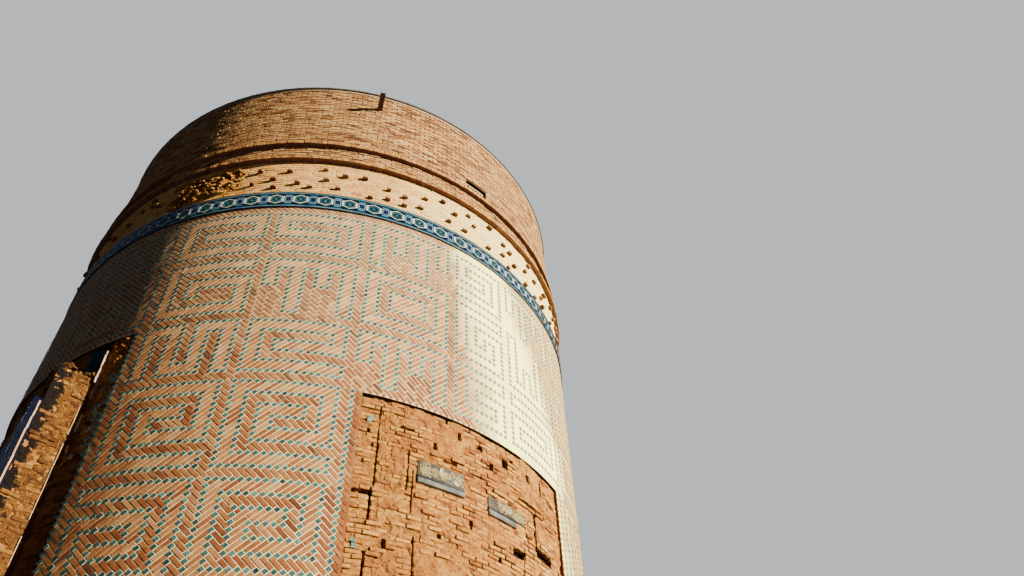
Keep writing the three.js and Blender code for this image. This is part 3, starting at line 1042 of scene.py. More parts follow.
def add_belt_stubs(brick, blocks):
    draw = random.Random(67)
    lay = Lay()
    for azimuth, z in belt_stubs():
        spot = on_drum(azimuth, BELT_RADIUS + draw.uniform(0.055, 0.085), z)
        lay.add(spot, draw.gauss(0, 0.04), STUB_FIRST + draw.randrange(STUB_VARIANTS),
                draw.gauss(0.6, 0.12), (draw.uniform(0.8, 1.15), draw.uniform(0.85, 1.05), 1))
    keep_laid("belt_stubs", lay, "plain_brick", blocks, brick, tilt=0.06, depth=0.002, seed=16)


def strip_holes():
    """Bricks that the strip between the two rings has lost, told by azimuth, course and half width."""
    row = (LIP_BOTTOM - CORBEL_TOP) / 7
    spots = ((-40.2, 2, 1.3), (-38.9, 1, 0.9), (-22.4, 1, 1.2), (-21.2, 2, 0.5), (60, 3, 1.0),
             (128, 2, 1.4), (203, 4, 1.1))
    return [(a - half, a + half, CORBEL_TOP + n * row + 0.004, CORBEL_TOP + (n + 1) * row - 0.004)
            for a, n, half in spots]


def drum_holes():
    """The vents, and one brick that is lost, in the upper drum."""
    half = math.degrees(VENT_HALF_WIDTH / UPPER_DRUM_RADIUS)
    vents = [(side - half, side + half, VENT_BOTTOM, VENT_TOP) for side in (0, 180, -180)]
    return vents + [(-26.2, -24.8, 16.32, 16.4)]


def with_pockets(name, node, holes, radius, depth):
    """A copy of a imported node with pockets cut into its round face, which stands for the node."""
    mesh = nodes[node].data.copy()
    solid = bmesh.new()
    solid.from_mesh(mesh)
    bmesh.ops.remove_doubles(solid, verts=solid.verts, dist=1e-5)
    solid.to_mesh(mesh)
    solid.free()
    cutter = bmesh.new()
    front, back = radius + 0.1, radius - depth
    for start, end, low, high in holes:
        corners = ((start, front), (end, front), (end, back), (start, back))
        lower, upper = (ring(cutter, [on_drum(a, r, z)[0] for a, r in corners]) for z in (low, high))
        cutter.faces.new(lower[::-1])
        cutter.faces.new(upper)
        bridge(cutter, lower, upper)
    whole = in_scene(name, mesh)
    tool = in_scene("cutter", closed_mesh("cutter", cutter))
    modifier = whole.modifiers.new("pockets", "BOOLEAN")
    modifier.operation = "DIFFERENCE"
    modifier.solver = "EXACT"
    modifier.object = tool
    result = evaluated_mesh(whole)
    result.name = name
    for item in (whole, tool):
        bpy.data.objects.remove(item)
    result.materials.clear()
    result.materials.append(nodes[node].material_slots[0].material)
    keep(name, result, "plain_brick", node)


def near_azimuth(holes, azimuth, half):
    """The holes that lie within half of an azimuth, all told in turns near it."""
    found = []
    for start, end, low, high in holes:
        turn = round((azimuth - (start + end) / 2) / 360) * 360
        if abs((start + end) / 2 + turn - azimuth) < half:
            found.append((start + turn, end + turn, low, high))
    return found


def add_plain_courses(brick, belt_brick, blocks):
    draw = random.Random(11)
    lost = strip_holes()
    drum = round_wall(UPPER_DRUM_RADIUS + 0.009, RIM_RADIUS + 0.009, LIP_SLOPE_TOP, RIM_TOP)
    strip = round_wall(STRIP_RADIUS + 0.007)
    belt = round_wall(BELT_RADIUS + 0.004)

    def sound(azimuth, z):
        return not (RUIN[0] < azimuth < RUIN[1] and ruin_depth(azimuth, z) > 0.25)

    for name, look, place, bottom, top, holes, where, tone, depth, spread in (
        ("upper_drum_bricks", brick, drum, LIP_SLOPE_TOP, RIM_TOP - 0.01, drum_holes(), None,
         0.56, 0.0035, 0.26),
        ("corbel_strip_bricks", brick, strip, CORBEL_TOP, LIP_BOTTOM, lost, None, 0.53, 0.004, 0.2),
        ("belt_bricks", belt_brick, belt, BAND_TOP + 0.01, CORBEL_BOTTOM, (), sound, 0.22, 0.002, 0.18),
    ):
        lay = Lay()
        lay_courses(lay, draw, place, bottom, top, -180, 180, DEGREE, holes, where,
                    tone=tone, depth=depth, spread=spread)
        keep_laid(name, lay, "plain_brick", blocks, look, tilt=0.012, depth=0.0015, seed=4)
    for number, side in enumerate(SIDES):
        with_pockets(f"corbel_backing_{side}", f"corbel_courses_{side}",
                     near_azimuth(lost, number * 90, 44.5), STRIP_RADIUS, 0.08)
    with_pockets("belt_backing_south", "belt_wall_south", [RUIN], BELT_RADIUS, 0.17)


def add_ring_bricks(brick, blocks):
    """Header courses of the two projecting rings, seen from below."""
    draw = random.Random(13)
    for name, radius, low, high, count, first in (
        ("corbel_ring_bricks", CORBEL_RADIUS + 0.004, CORBEL_BOTTOM, CORBEL_TOP, 304, RING_FIRST),
        ("lip_ring_bricks", LIP_RADIUS + 0.004, LIP_BOTTOM, LIP_TOP, 302, LIP_FIRST),
    ):
        lay = Lay()
        for number in range(count):
            azimuth = (number + draw.uniform(-0.04, 0.04)) * 360 / count
            out = draw.gauss(0, 0.003)
            spot = on_drum(azimuth, radius + out, (low + high) / 2 + draw.gauss(0, 0.0012))
            slope = draw.gauss(0, 0.006)
            variant = first + draw.randrange(HEADER_VARIANTS)
            lay.add(spot, slope, variant, draw.gauss(0.62, 0.09))
        keep_laid(name, lay, "plain_brick", blocks, brick, tilt=0.006, depth=0.001, seed=6)


# Rough skins: mortar, plaster and rubble with relief, closed at the back and at the edges

def crust(name, place, us, vs, out, back, slot, look, *replaced):
    """A wall face with relief. out tells row by row how far each spot stands out; back is the far side."""
    columns, rows = len(us), len(vs)
    points = [place(u, v, float(out[j][i]))[0] for j, v in enumerate(vs) for i, u in enumerate(us)]
    points += [place(u, v, back)[0] for v in (vs[0], vs[-1]) for u in us]
    low, high = columns * rows, columns * rows + columns
    faces = []
    for j in range(rows - 1):
        for i in range(columns - 1):
            k = j * columns + i
            faces.append((k, k + 1, k + columns + 1, k + columns))
    last = (rows - 1) * columns
    for i in range(columns - 1):
        faces.append((high + i, high + i + 1, low + i + 1, low + i))
        faces.append((low + i, low + i + 1, i + 1, i))
        faces.append((last + i, last + i + 1, high + i + 1, high + i))
    faces.append((high, low, *range(0, last + 1, columns)))
    faces.append((low + columns - 1, high + columns - 1, *range(last + columns - 1, 0, -columns)))
    mesh = bpy.data.meshes.new(name)
    mesh.from_pydata(points, [], faces)
    mesh.materials.append(look)
    keep(name, mesh, slot, *replaced)


def bumps(us, vs, unit, scale, seed, octaves=4):
    """A sheet of noise over a wall, about -1 to 1."""
    return np.array([[noise.fractal(Vector((u * unit * scale, v * scale, seed)), 0.7, 2.1, octaves)
                      for u in us] for v in vs])


def step_between(value, low, high):
    share = np.clip((value - low) / (high - low), 0, 1)
    return share * share * (3 - 2 * share)


def sunk(out, us, vs, unit, holes, depth, ragged):
    """Cuts holes into a relief, with ragged edges."""
    across, up = np.meshgrid(np.array(us), np.array(vs))
    cut = np.zeros_like(out)
    for start, end, low, high in holes:
        side = np.abs(across - (start + end) / 2) * unit - (end - start) / 2 * unit
        rise = np.abs(up - (low + high) / 2) - (high - low) / 2
        edge = np.maximum(side, rise) + ragged * 0.014
        cut = np.maximum(cut, 1 - step_between(edge, -0.008, 0.012))
    return out - cut * (depth + out)


# The two side panels where the facing has gone

def panel_holes():
    """Chases, put-log holes and steps of the bare panel, as azimuth from its middle and height."""
    return [
        (-18.36, -18.22, 7.45, 8.75), (-21.4, -18.5, 7.365, 7.395), (-18.78, -18.52, 7.0, 7.44),
        (-21.6, -18.65, 6.575, 6.605), (-18.86, -18.68, 5.9, 6.6), (-13.36, -13.2, 7.55, 8.15),
        (-12.52, -12.38, 7.22, 7.87), (-11.88, -11.72, 6.3, 6.9), (-14.9, -12.6, 8.45, 8.5),
        (-4.65, -4.15, 8.6, 8.72), (-9.05, -8.65, 8.3, 8.42), (-0.5, 0.4, 8.59, 8.67),
        (5.0, 6.0, 8.52, 8.67), (6.85, 7.35, 8.66, 8.75), (1.85, 2.5, 8.36, 8.49),
        (11.1, 12.0, 8.54, 8.65), (15.5, 15.85, 8.5, 8.74), (-6.85, -6.7, 8.78, 8.87),
        (9.0, 16.5, 8.14, 8.17), (12.85, 13.5, 7.5, 8.08), (12.8, 17.6, 7.40, 7.56),
        (6.6, 9.8, 7.22, 7.33), (-12.5, -2.4, 8.165, 8.18), (-20.1, -19.7, 8.26, 8.33),
        (-19.3, -18.9, 8.04, 8.12), (-16.4, -15.9, 6.66, 6.78), (-8.0, -7.4, 6.98, 7.05),
        (1.6, 2.3, 6.5, 6.6), (-6.0, -4.8, 5.7, 5.8), (8.5, 9.4, 5.9, 6.06), (-3.2, -2.2, 4.6, 4.72),
        (-12.6, -11.6, 4.0, 4.1), (14.2, 15.0, 4.8, 4.96), (4.2, 5.2, 3.3, 3.4),
        (-17.0, -16.0, 2.7, 2.82), (10.2, 11.0, 2.2, 2.32), (-6.4, -5.4, 1.7, 1.8),
        (-0.6, 0.4, 2.9, 3.0), (9.2, 9.4, 6.2, 7.2), (-2.2, -1.9, 7.3, 7.4), (3.4, 3.8, 7.0, 7.06),
    ]


TILE_BEDS = ((-11.7, -3.5, 7.685, 8.04), (1.4, 10.2, 7.61, 7.91))


def panel_wave(azimuth, z):
    """The slow ups and downs of the worn core, in metres."""
    return 0.016 * noise.fractal(Vector((azimuth * DEGREE * 0.9, z * 0.9, 3)), 0.8, 2.0, 3)


def panel_relief(us, vs):
    """Mortar between the bricks, plaster that is left in patches, and the holes, row by row."""
    across, up = np.meshgrid(np.array(us), np.array(vs))
    wave = np.array([[panel_wave(u, v) for u in us] for v in vs])
    fine = bumps(us, vs, DEGREE, 9, 1.5)
    broad = bumps(us, vs, DEGREE, 1.3, 5.5)
    out = wave + 0.001 + 0.012 * fine
    arch_middle, arch_half_width, arch_springing, arch_rise = -6.5, 0.62, 6.3, 0.5
    arch = np.hypot((across - arch_middle) * DEGREE / arch_half_width,
                    np.maximum(up - arch_springing, 0) / arch_rise)
    plaster = np.maximum(step_between(broad, 0.28, 0.4), 1 - step_between(arch, 0.85, 1.0))
    strip_middle = -15.6
    strip = step_between(np.abs(across - strip_middle), 2.0, 1.7) * step_between(up, 5.2, 5.4)
    plaster = np.maximum(plaster, 0.7 * strip * step_between(fine, -0.25, 0.1))
    out = out * (1 - plaster) + plaster * (wave + 0.019 + 0.004 * fine)
    out = sunk(out, us, vs, DEGREE, TILE_BEDS, -0.006, 0 * fine)
    return sunk(out, us, vs, DEGREE, panel_holes(), 0.085, fine)


def add_panels(brick, blocks, skin):
    draw = random.Random(17)
    fine_from = 5.9
    us = np.linspace(-PANEL_HALF_ANGLE, PANEL_HALF_ANGLE, 271)
    vs = np.concatenate((np.linspace(PLINTH_TOP, fine_from, 120),
                         np.linspace(fine_from, PANEL_TOP, 201)[1:]))
    relief = panel_relief(us, vs)
    for side, middle in PANEL_SIDES:
        def uneven(azimuth, z, out):
            return on_drum(azimuth + middle, CORE_RADIUS + panel_wave(azimuth, z) + (out + 0.009), z)

        def bare(azimuth, z, out):
            return on_drum(azimuth + middle, CORE_RADIUS + out, z)

        lay = Lay()
        lay_courses(lay, draw, uneven, PLINTH_TOP, PANEL_TOP, -PANEL_HALF_ANGLE, PANEL_HALF_ANGLE, DEGREE,
                    [*panel_holes(), *TILE_BEDS], where=lambda a, z: draw.random() > 0.05,
                    first=COURSE_VARIANTS, depth=0.009, tone=0.42, spread=0.22)
        keep_laid(f"panel_bricks_{side}", lay, "core_brick", blocks, brick, tilt=0.035, depth=0.003, seed=5)
        crust(f"panel_wall_{side}", bare, us, vs, relief, CHAMBER_RADIUS - CORE_RADIUS,
              "core_brick", skin, f"side_panel_{side}")


# Portals: bare brick flanks and top, rough joints, and the tiled slab in front

def outline_at(outline, x):
    return float(np.interp(x, [p[0] for p in outline], [p[1] for p in outline]))


def niche_top(x):
    """The height of the pointed arch over x, from its two centres."""
    radius = 1.5 * NICHE_HALF_WIDTH
    return NICHE_SPRINGING + math.sqrt(max(0, radius ** 2 - (abs(x) + 0.5 * NICHE_HALF_WIDTH) ** 2))


def in_niche(x, z, margin=0.0):
    return abs(x) < NICHE_HALF_WIDTH + margin and z < niche_top(abs(x) / (1 + margin)) + margin


def flat_front(side, depth):
    """Places on a portal's front by x, height and how far out."""
    return lambda x, z, out: on_front(x, z, depth + out, side)


def flank(side, hand, half_width=PORTAL_HALF_WIDTH):
    """Places on a portal's flank. hand is 1 for the right one, seen from in front."""
    outward, right = Vector((side * hand, 0, 0)), Vector((0, side * hand, 0))

    def place(u, z, out):
        return Vector((side * hand * (half_width + out), side * hand * u, z)), outward, right
    return place


def jamb(side, hand):
    """Places on the niche's jambs, which face each other."""
    outward, right = Vector((-side * hand, 0, 0)), Vector((0, -side * hand, 0))

    def place(u, z, out):
        return Vector((side * hand * (NICHE_HALF_WIDTH - out), -side * hand * u, z)), outward, right
    return place


def add_portal_bricks(side_name, side, brick, blocks, skin):
    draw = random.Random(29 + side)
    lay = Lay()
    centre = -90 * side
    on_core = math.sqrt(CORE_RADIUS ** 2 - PORTAL_HALF_WIDTH ** 2)
    shared = {"first": COURSE_VARIANTS, "depth": 0.008, "tone": 0.72, "spread": 0.22}

    def sound(u, z):
        ragged = 0.10 * noise.fractal(Vector((u * 3, z * 3, side + 5)), 0.7, 2.0, 4)
        return draw.random() > 0.5 and abs(u) + ragged < 4.9

    def shown(x, z):
        return outline_at(SLAB_TOP, x) + 0.05 < z < outline_at(FRONT_TOP, x) - 0.03

    def beside_door(x, z):
        return (abs(x) > DOOR_HALF_WIDTH + 0.2 or z > DOOR_TOP + 0.28) and in_niche(x, z, -0.06)

    def bare(azimuth, z):
        x = math.sin(math.radians(azimuth - centre)) * CORE_RADIUS
        return abs(x) > PORTAL_HALF_WIDTH + 0.1 or z > outline_at(FRONT_TOP, x) + 0.03

    for hand, hand_name in ((1, "right"), (-1, "left")):
        first, last = sorted((-hand * PORTAL_FRONT, -hand * on_core))
        wall = flank(side, hand)

        def proud(u, z, out):
            return wall(u, z, out + 0.014)

        top = outline_at(FRONT_TOP, hand * PORTAL_HALF_WIDTH)
        chase = -hand * 4.6
        lay_courses(lay, draw, proud, PLINTH_TOP, top, first + 0.01, last - 0.01,
                    holes=[(chase - 0.012, chase + 0.012, 7.74, 8.29)], where=sound, **shared)
        us, vs = np.linspace(first, last, 34), np.linspace(PLINTH_TOP, top, 560)
        relief = 0.006 + 0.019 * bumps(us, vs, 1, 15, side * hand + 0.5)
        relief += 0.012 * step_between(bumps(us, vs, 1, 2.2, side * hand + 9.5), 0.25, 0.4)
        crust(f"portal_flank_{side_name}_{hand_name}", wall, us, vs, relief, -0.05, "core_brick", skin)
        first, last = sorted((hand * NICHE_BACK, hand * PORTAL_FRONT))
        lay_courses(lay, draw, jamb(side, hand), PLINTH_TOP, NICHE_SPRINGING, first + 0.02, last - 0.02,
                    **shared)
    front, back = flat_front(side, PORTAL_FRONT), flat_front(side, NICHE_BACK)
    half = PORTAL_HALF_WIDTH - 0.04
    lay_courses(lay, draw, front, 7.5, 9.5, -half, half, where=shown, **shared)
    lay_courses(lay, draw, back, PLINTH_TOP, 7.0, -1.1, 1.1, where=beside_door, **shared)
    # The recess's own bricks get darker tones, a painted shade
    shared.update({"tone": 0.85, "spread": 0.3})
    lay_courses(lay, draw, round_wall(CORE_RADIUS), PLINTH_TOP, RECESS_TOP, centre - PORTAL_HALF_ANGLE + 0.2,
                centre + PORTAL_HALF_ANGLE - 0.2, DEGREE, where=bare, **shared)
    keep_laid(f"portal_bricks_{side_name}", lay, "core_brick", blocks, brick, tilt=0.04, depth=0.004, seed=8)


def rubble_blocks():
    return block_set("rubble_block", [block_mesh("rubble", 0.12, 0.062, 0.09, 0.012, 0.03, 600 + number)
                                      for number in range(RUBBLE_VARIANTS)])


def add_portal_rubble(side_name, side, brick, blocks):
    """Loose bricks along the broken top of the front and along the slab's broken edge."""
    draw = random.Random(37 + side)
    lay = Lay()
    corner = 1.75
    for number in range(620):
        x = draw.choice((-1, 1, 1, -1, 0)) * corner + draw.uniform(-0.29, 0.29)
        if number % 2:
            x = draw.uniform(-PORTAL_HALF_WIDTH, PORTAL_HALF_WIDTH)
        depth = draw.uniform(4.55 if abs(x) > 1.6 else 4.78, PORTAL_FRONT - 0.04)
        if math.hypot(x, depth) < CORE_RADIUS + 0.05:
            continue
        place = on_front(x, outline_at(FRONT_TOP, x) + draw.uniform(-0.06, 0.1), depth, side)[0]
        outward = Vector((draw.gauss(0, 0.4), draw.gauss(0, 0.4), 1)).normalized()
        right = outward.cross(Vector((draw.gauss(0, 1), draw.gauss(0, 1), 0.1))).normalized()
        lay.add((place, outward, right), 0, draw.randrange(RUBBLE_VARIANTS), draw.gauss(0.3, 0.15),
                (draw.uniform(0.6, 1.3), draw.uniform(0.7, 1.2), draw.uniform(0.6, 1.1)))
    keep_laid(f"portal_rubble_{side_name}", lay, "core_brick", blocks, brick, tilt=0.2, depth=0.01, seed=9)


# The recess's edging is whole above one height, and broken and worn back below it

EDGING_LOW, EDGING_SOUND, EDGING_TOP = 8.1, 9.1, 9.83
EDGING_ANGLE = 25.1
EDGING_BACK = 4.93


def add_slab_edges(side_name, side, look):
    """The thin pale tile edging that is left, in pieces, along the slab's two outer edges and the recess."""
    draw = random.Random(43 + side)
    solid = bmesh.new()

    def square_bar(x, depth, width, thickness):
        x, y, out, front = side * hand * x, -side * depth, side * hand * width, -side * thickness
        return ((x, y), (x + out, y), (x + out, y + front), (x, y + front))

    def recess_bar(z):
        reach = 5.02 if z > EDGING_SOUND else 4.975
        azimuth = -90 * side + hand * EDGING_ANGLE
        corners = ((-0.1, EDGING_BACK), (-0.1, reach), (0.1, reach), (0.1, EDGING_BACK))
        return [on_drum(azimuth + turn, radius, 0)[0].xy for turn, radius in corners]

    def column(z, top, shortest, longest, section, left=lambda z: True):
        """Bars one over another up to the top, those that are left."""
        while z < top:
            high = min(top, z + draw.uniform(shortest, longest))
            if left(z):
                lean = draw.uniform(-0.006, 0.006)
                corners = section(z)
                foot = ring(solid, [(x, y, z) for x, y in corners])
                tube(solid, [foot, ring(solid, [(x + lean, y + lean, high - 0.004) for x, y in corners])])
            z = high

    for hand in (1, -1):
        slab_top = outline_at(SLAB_TOP, hand * SLAB_HALF_WIDTH) - 0.05
        column(PLINTH_TOP + 0.01, slab_top, 0.14, 0.45,
               lambda z: square_bar(SLAB_HALF_WIDTH - 0.01, 5.024, 0.026, 0.02))
        flank_top = outline_at(FRONT_TOP, hand * PORTAL_HALF_WIDTH) - 0.1
        column(PLINTH_TOP + 0.01, flank_top, 0.1, 0.4,
               lambda z: square_bar(PORTAL_HALF_WIDTH + 0.002, 4.553, 0.024, 0.009),
               lambda z: draw.random() < 0.75)
        column(EDGING_LOW, EDGING_TOP, 0.08, 0.3, recess_bar,
               lambda z: z > EDGING_SOUND or draw.random() < 0.4)
    name = f"portal_edging_{side_name}"
    keep(name, closed_mesh(name, solid, look), "glazed_tile")


def flat_shape(name, outline, thickness, inner=None):
    """A thin shape lying in x and y with its face at z = 0, for the tree to set on a wall."""
    solid = bmesh.new()
    add_plate(solid, lambda x, y, z: (x, y, z), outline, 0, -thickness, inner, -0.002)
    return closed_mesh(name, solid)


def star(points, outer, inner):
    corners = []
    for number in range(2 * points):
        turn = math.pi * number / points
        reach = outer if number % 2 == 0 else inner
        corners.append((reach * math.cos(turn), reach * math.sin(turn)))
    return corners


def slab_shapes():
    """Shapes of the slab's mosaic: a star in three parts, a cross, and the border's diamond and bead."""
    lozenge = ((0.052, 0), (0, 0.075), (-0.052, 0), (0, -0.075))
    shapes = [
        flat_shape("star_frame", star(8, 0.135, 0.103), 0.012, star(8, 0.108, 0.082)),
        flat_shape("star_heart", star(8, 0.094, 0.071), 0.012),
        flat_shape("star_eye", star(8, 0.045, 0.020), 0.014),
        flat_shape("cross", star(4, 0.078, 0.024), 0.012),
        flat_shape("lozenge", lozenge, 0.012),
        flat_shape("bead", rectangle(0, 0, 0.009, 0.071), 0.014),
    ]
    return block_set("slab_shape", shapes)


def on_slab(x, z, margin=0.0):
    return (abs(x) < SLAB_HALF_WIDTH - margin and PLINTH_TOP + margin < z < outline_at(SLAB_TOP, x) - margin
            and not in_niche(x, z, margin))


def slab_layout(side):
    """Where each shape of the slab's mosaic goes, by colour."""
    layout = {"white": Lay(), "turquoise": Lay()}
    front = flat_front(side, PORTAL_SLAB_FRONT)
    draw = random.Random(47 + side)
    pitch, border = 0.27, 1.95
    for column in range(-6, 7):
        for row in range(1, 33):
            x, z = column * pitch, PLINTH_TOP + (row - 0.4) * pitch
            if abs(x) > 1.7 or draw.random() < 0.05 + 0.3 * max(0, z - 6.8):
                continue
            if on_slab(x, z, 0.2):
                for shape, shade, out in ((0, "white", 0.006), (1, "turquoise", 0.005), (2, "white", 0.008)):
                    layout[shade].add(front(x, z, out), 0, shape, draw.gauss(0.4, 0.15))
            x, z = x + pitch / 2, z + pitch / 2
            if abs(x) < 1.62 and on_slab(x, z, 0.15):
                layout["turquoise"].add(front(x, z, 0.004), 0, 3, draw.gauss(0.4, 0.15))
    for row in range(58):
        for hand in (1, -1):
            z = PLINTH_TOP + (row + 0.5) * 0.15
            if not on_slab(hand * border, z, 0.1):
                continue
            layout["turquoise"].add(front(hand * border, z, 0.006), 0, 4, 0.4)
            for x in (1.86, 2.04, 2.1):
                layout["white"].add(front(hand * x, z, 0.008), 0, 5, draw.gauss(0.4, 0.2))
    return layout


def add_slab_mosaic(side_name, side, looks, blocks):
    for shade, lay in slab_layout(side).items():
        name = f"portal_mosaic_{side_name}_{shade}"
        keep_laid(name, lay, "glazed_tile", blocks, looks[shade], tilt=0.004, depth=0.0008, seed=12)


ROPE_RADIUS = 0.045
ROPE_LOBES = 3
ROPE_TWIST = 9.0
ROPE_SIDES = 14


def add_rope(side_name, side, look):
    """A twisted roll of glazed brick round the niche."""
    path = niche_rope_path()
    solid = bmesh.new()
    rings, length = [], 0.0
    for number, (x, z) in enumerate(path):
        before, after = path[max(0, number - 1)], path[min(len(path) - 1, number + 1)]
        length += math.dist((x, z), before)
        along = Vector((after[0] - before[0], 0, after[1] - before[1])).normalized()
        across = Vector((along.z, 0, -along.x))
        corners = []
        for k in range(ROPE_SIDES):
            turn = math.tau * k / ROPE_SIDES
            reach = ROPE_RADIUS * (1 + 0.16 * math.cos(ROPE_LOBES * (turn + length * ROPE_TWIST)))
            flat = across * (reach * math.cos(turn)) + Vector((x, 0, z))
            corners.append(on_front(flat.x, flat.z, PORTAL_SLAB_FRONT + reach * math.sin(turn), side)[0])
        rings.append(ring(solid, corners))
    tube(solid, rings)
    name = f"niche_rope_{side_name}"
    keep(name, closed_mesh(name, solid, look), "glazed_tile")


def niche_rope_path():
    """The rope's way up one jamb, over the arch and down the other, as x and height."""
    offset, rows, turns = 0.07, 177, 60
    radius = 1.5 * NICHE_HALF_WIDTH + offset
    half = NICHE_HALF_WIDTH + offset
    path = [(-half, PLINTH_TOP + 0.02 + step * 0.03) for step in range(rows)]
    peak = math.acos(0.5 * NICHE_HALF_WIDTH / radius)
    for step in range(1, turns + 1):
        turn = peak * step / turns
        x = 0.5 * NICHE_HALF_WIDTH - radius * math.cos(turn)
        path.append((x, NICHE_SPRINGING + radius * math.sin(turn)))
    return path + [(-x, z) for x, z in path[-2::-1]]


def remnants(side):
    """Squares and bits of the facing that still hang on the recess beside a portal."""
    draw = random.Random(53 + side)
    lay = Lay()
    start = 0 if side > 0 else HALF_TURN
    for step in range(-53, 54):
        for b in range(57, LAST_ROW):
            a = start + step
            z = FACING_TOP - b * GRID_ROW
            if (a - b) % 2 or abs(step) < 46 or not 7.8 < z < 9.45:
                continue
            hold = noise.noise(Vector((step * 0.16, b * 0.09, side * 7.0)))
            if hold < -0.45 or z < 8.0 + 0.5 * hold:
                continue
            glazed = draw.random() < 0.42
            shape = GLAZED_FIRST if glazed else draw.choice((0, FACING_VARIANTS))
            lay.add(on_grid(a, b, CORE_RADIUS + 0.026), math.radians(draw.choice((-45, 45))),
                    shape + draw.randrange(FACING_VARIANTS), draw.gauss(0.5, 0.3), glazed=glazed)
    return lay


def add_remnants(looks):
    blocks = facing_blocks()
    for side_name, side in PORTAL_SIDES:
        keep_laid(f"recess_mosaic_{side_name}", remnants(side), "facing_brick", blocks, looks,
                  tilt=0.06, depth=0.004, seed=14)
    drop(blocks)


def add_recess_patches(side_name, side, tile, skin):
    """What is left high up in the recess beside the portal: a patch of teal tile and one of rough brick,
    whose skin is painted lighter: a painted light on the shaded recess.
    """
    wall = round_wall(CORE_RADIUS)
    for hand, hand_name in ((1, "right"), (-1, "left")):
        def along(near, far, count):
            return np.linspace(*sorted(-90 * side + hand * angle for angle in (near, far)), count)

        us, vs = along(20.9, 24.3, 30), np.linspace(9.2, RECESS_TOP - 0.03, 60)
        relief = 0.012 + 0.010 * step_between(bumps(us, vs, DEGREE, 2.4, side + 3.5), -0.3, -0.1)
        crust(f"recess_tile_{side_name}_{hand_name}", wall, us, vs, relief, -0.03, "glazed_tile", tile)
        us, vs = along(25.3, 28.8, 34), np.linspace(9.36, RECESS_TOP - 0.01, 80)
        relief = 0.035 + 0.03 * bumps(us, vs, DEGREE, 12, side + 6.5)
        crust(f"recess_rubble_{side_name}_{hand_name}", wall, us, vs, relief, -0.03, "core_brick", skin)


def add_portals(brick, blocks, skin, patch_skin_painted_lit, looks):
    loose, shapes = rubble_blocks(), slab_shapes()
    edging = tile_glaze("edging_tile", (226, 190, 160), (190, 150, 118))
    for side_name, side in PORTAL_SIDES:
        add_portal_bricks(side_name, side, brick, blocks, skin)
        add_portal_rubble(side_name, side, brick, loose)
        add_slab_edges(side_name, side, edging)
        add_recess_patches(side_name, side, looks["recess"], patch_skin_painted_lit)
        add_slab_mosaic(side_name, side, looks, shapes)
        add_rope(side_name, side, looks["turquoise"])
    drop(loose)
    drop(shapes)


# Bits of tile on the panels, vents, dressed stones and the roof's seams

TILE_BACK = 4.92
VENT_FACE = 4.945
VENT_BACK = 4.912
BASE_HALF_WIDTH = 2.23
BASE_BACK = 4.62
STONE_LENGTH = 0.5
STONE_STEP = 0.46
STONE_HEIGHT = 0.3
SURROUND_WIDTH = 0.2
SEAM_COUNT = 56
CAP_RADIUS = 0.4


def bent_bar(solid, profile, start, end, steps):
    """A bar along a stretch of azimuth, with a profile of [radius, height] corners, closed at its ends."""
    rings = []
    for step in range(steps + 1):
        azimuth = start + (end - start) * step / steps
        rings.append(ring(solid, [on_drum(azimuth, radius, z)[0] for radius, z in profile]))
    tube(solid, rings)


def curl_shape():
    """A plain open ring that stands for the worn carving."""
    turns = [math.radians(-30 + 300 * step / 11) for step in range(12)]
    outer, inner = ([(reach * math.cos(turn), reach * math.sin(turn)) for turn in turns]
                    for reach in (0.036, 0.029))
    return flat_shape("curl", outer + inner[::-1], 0.009)


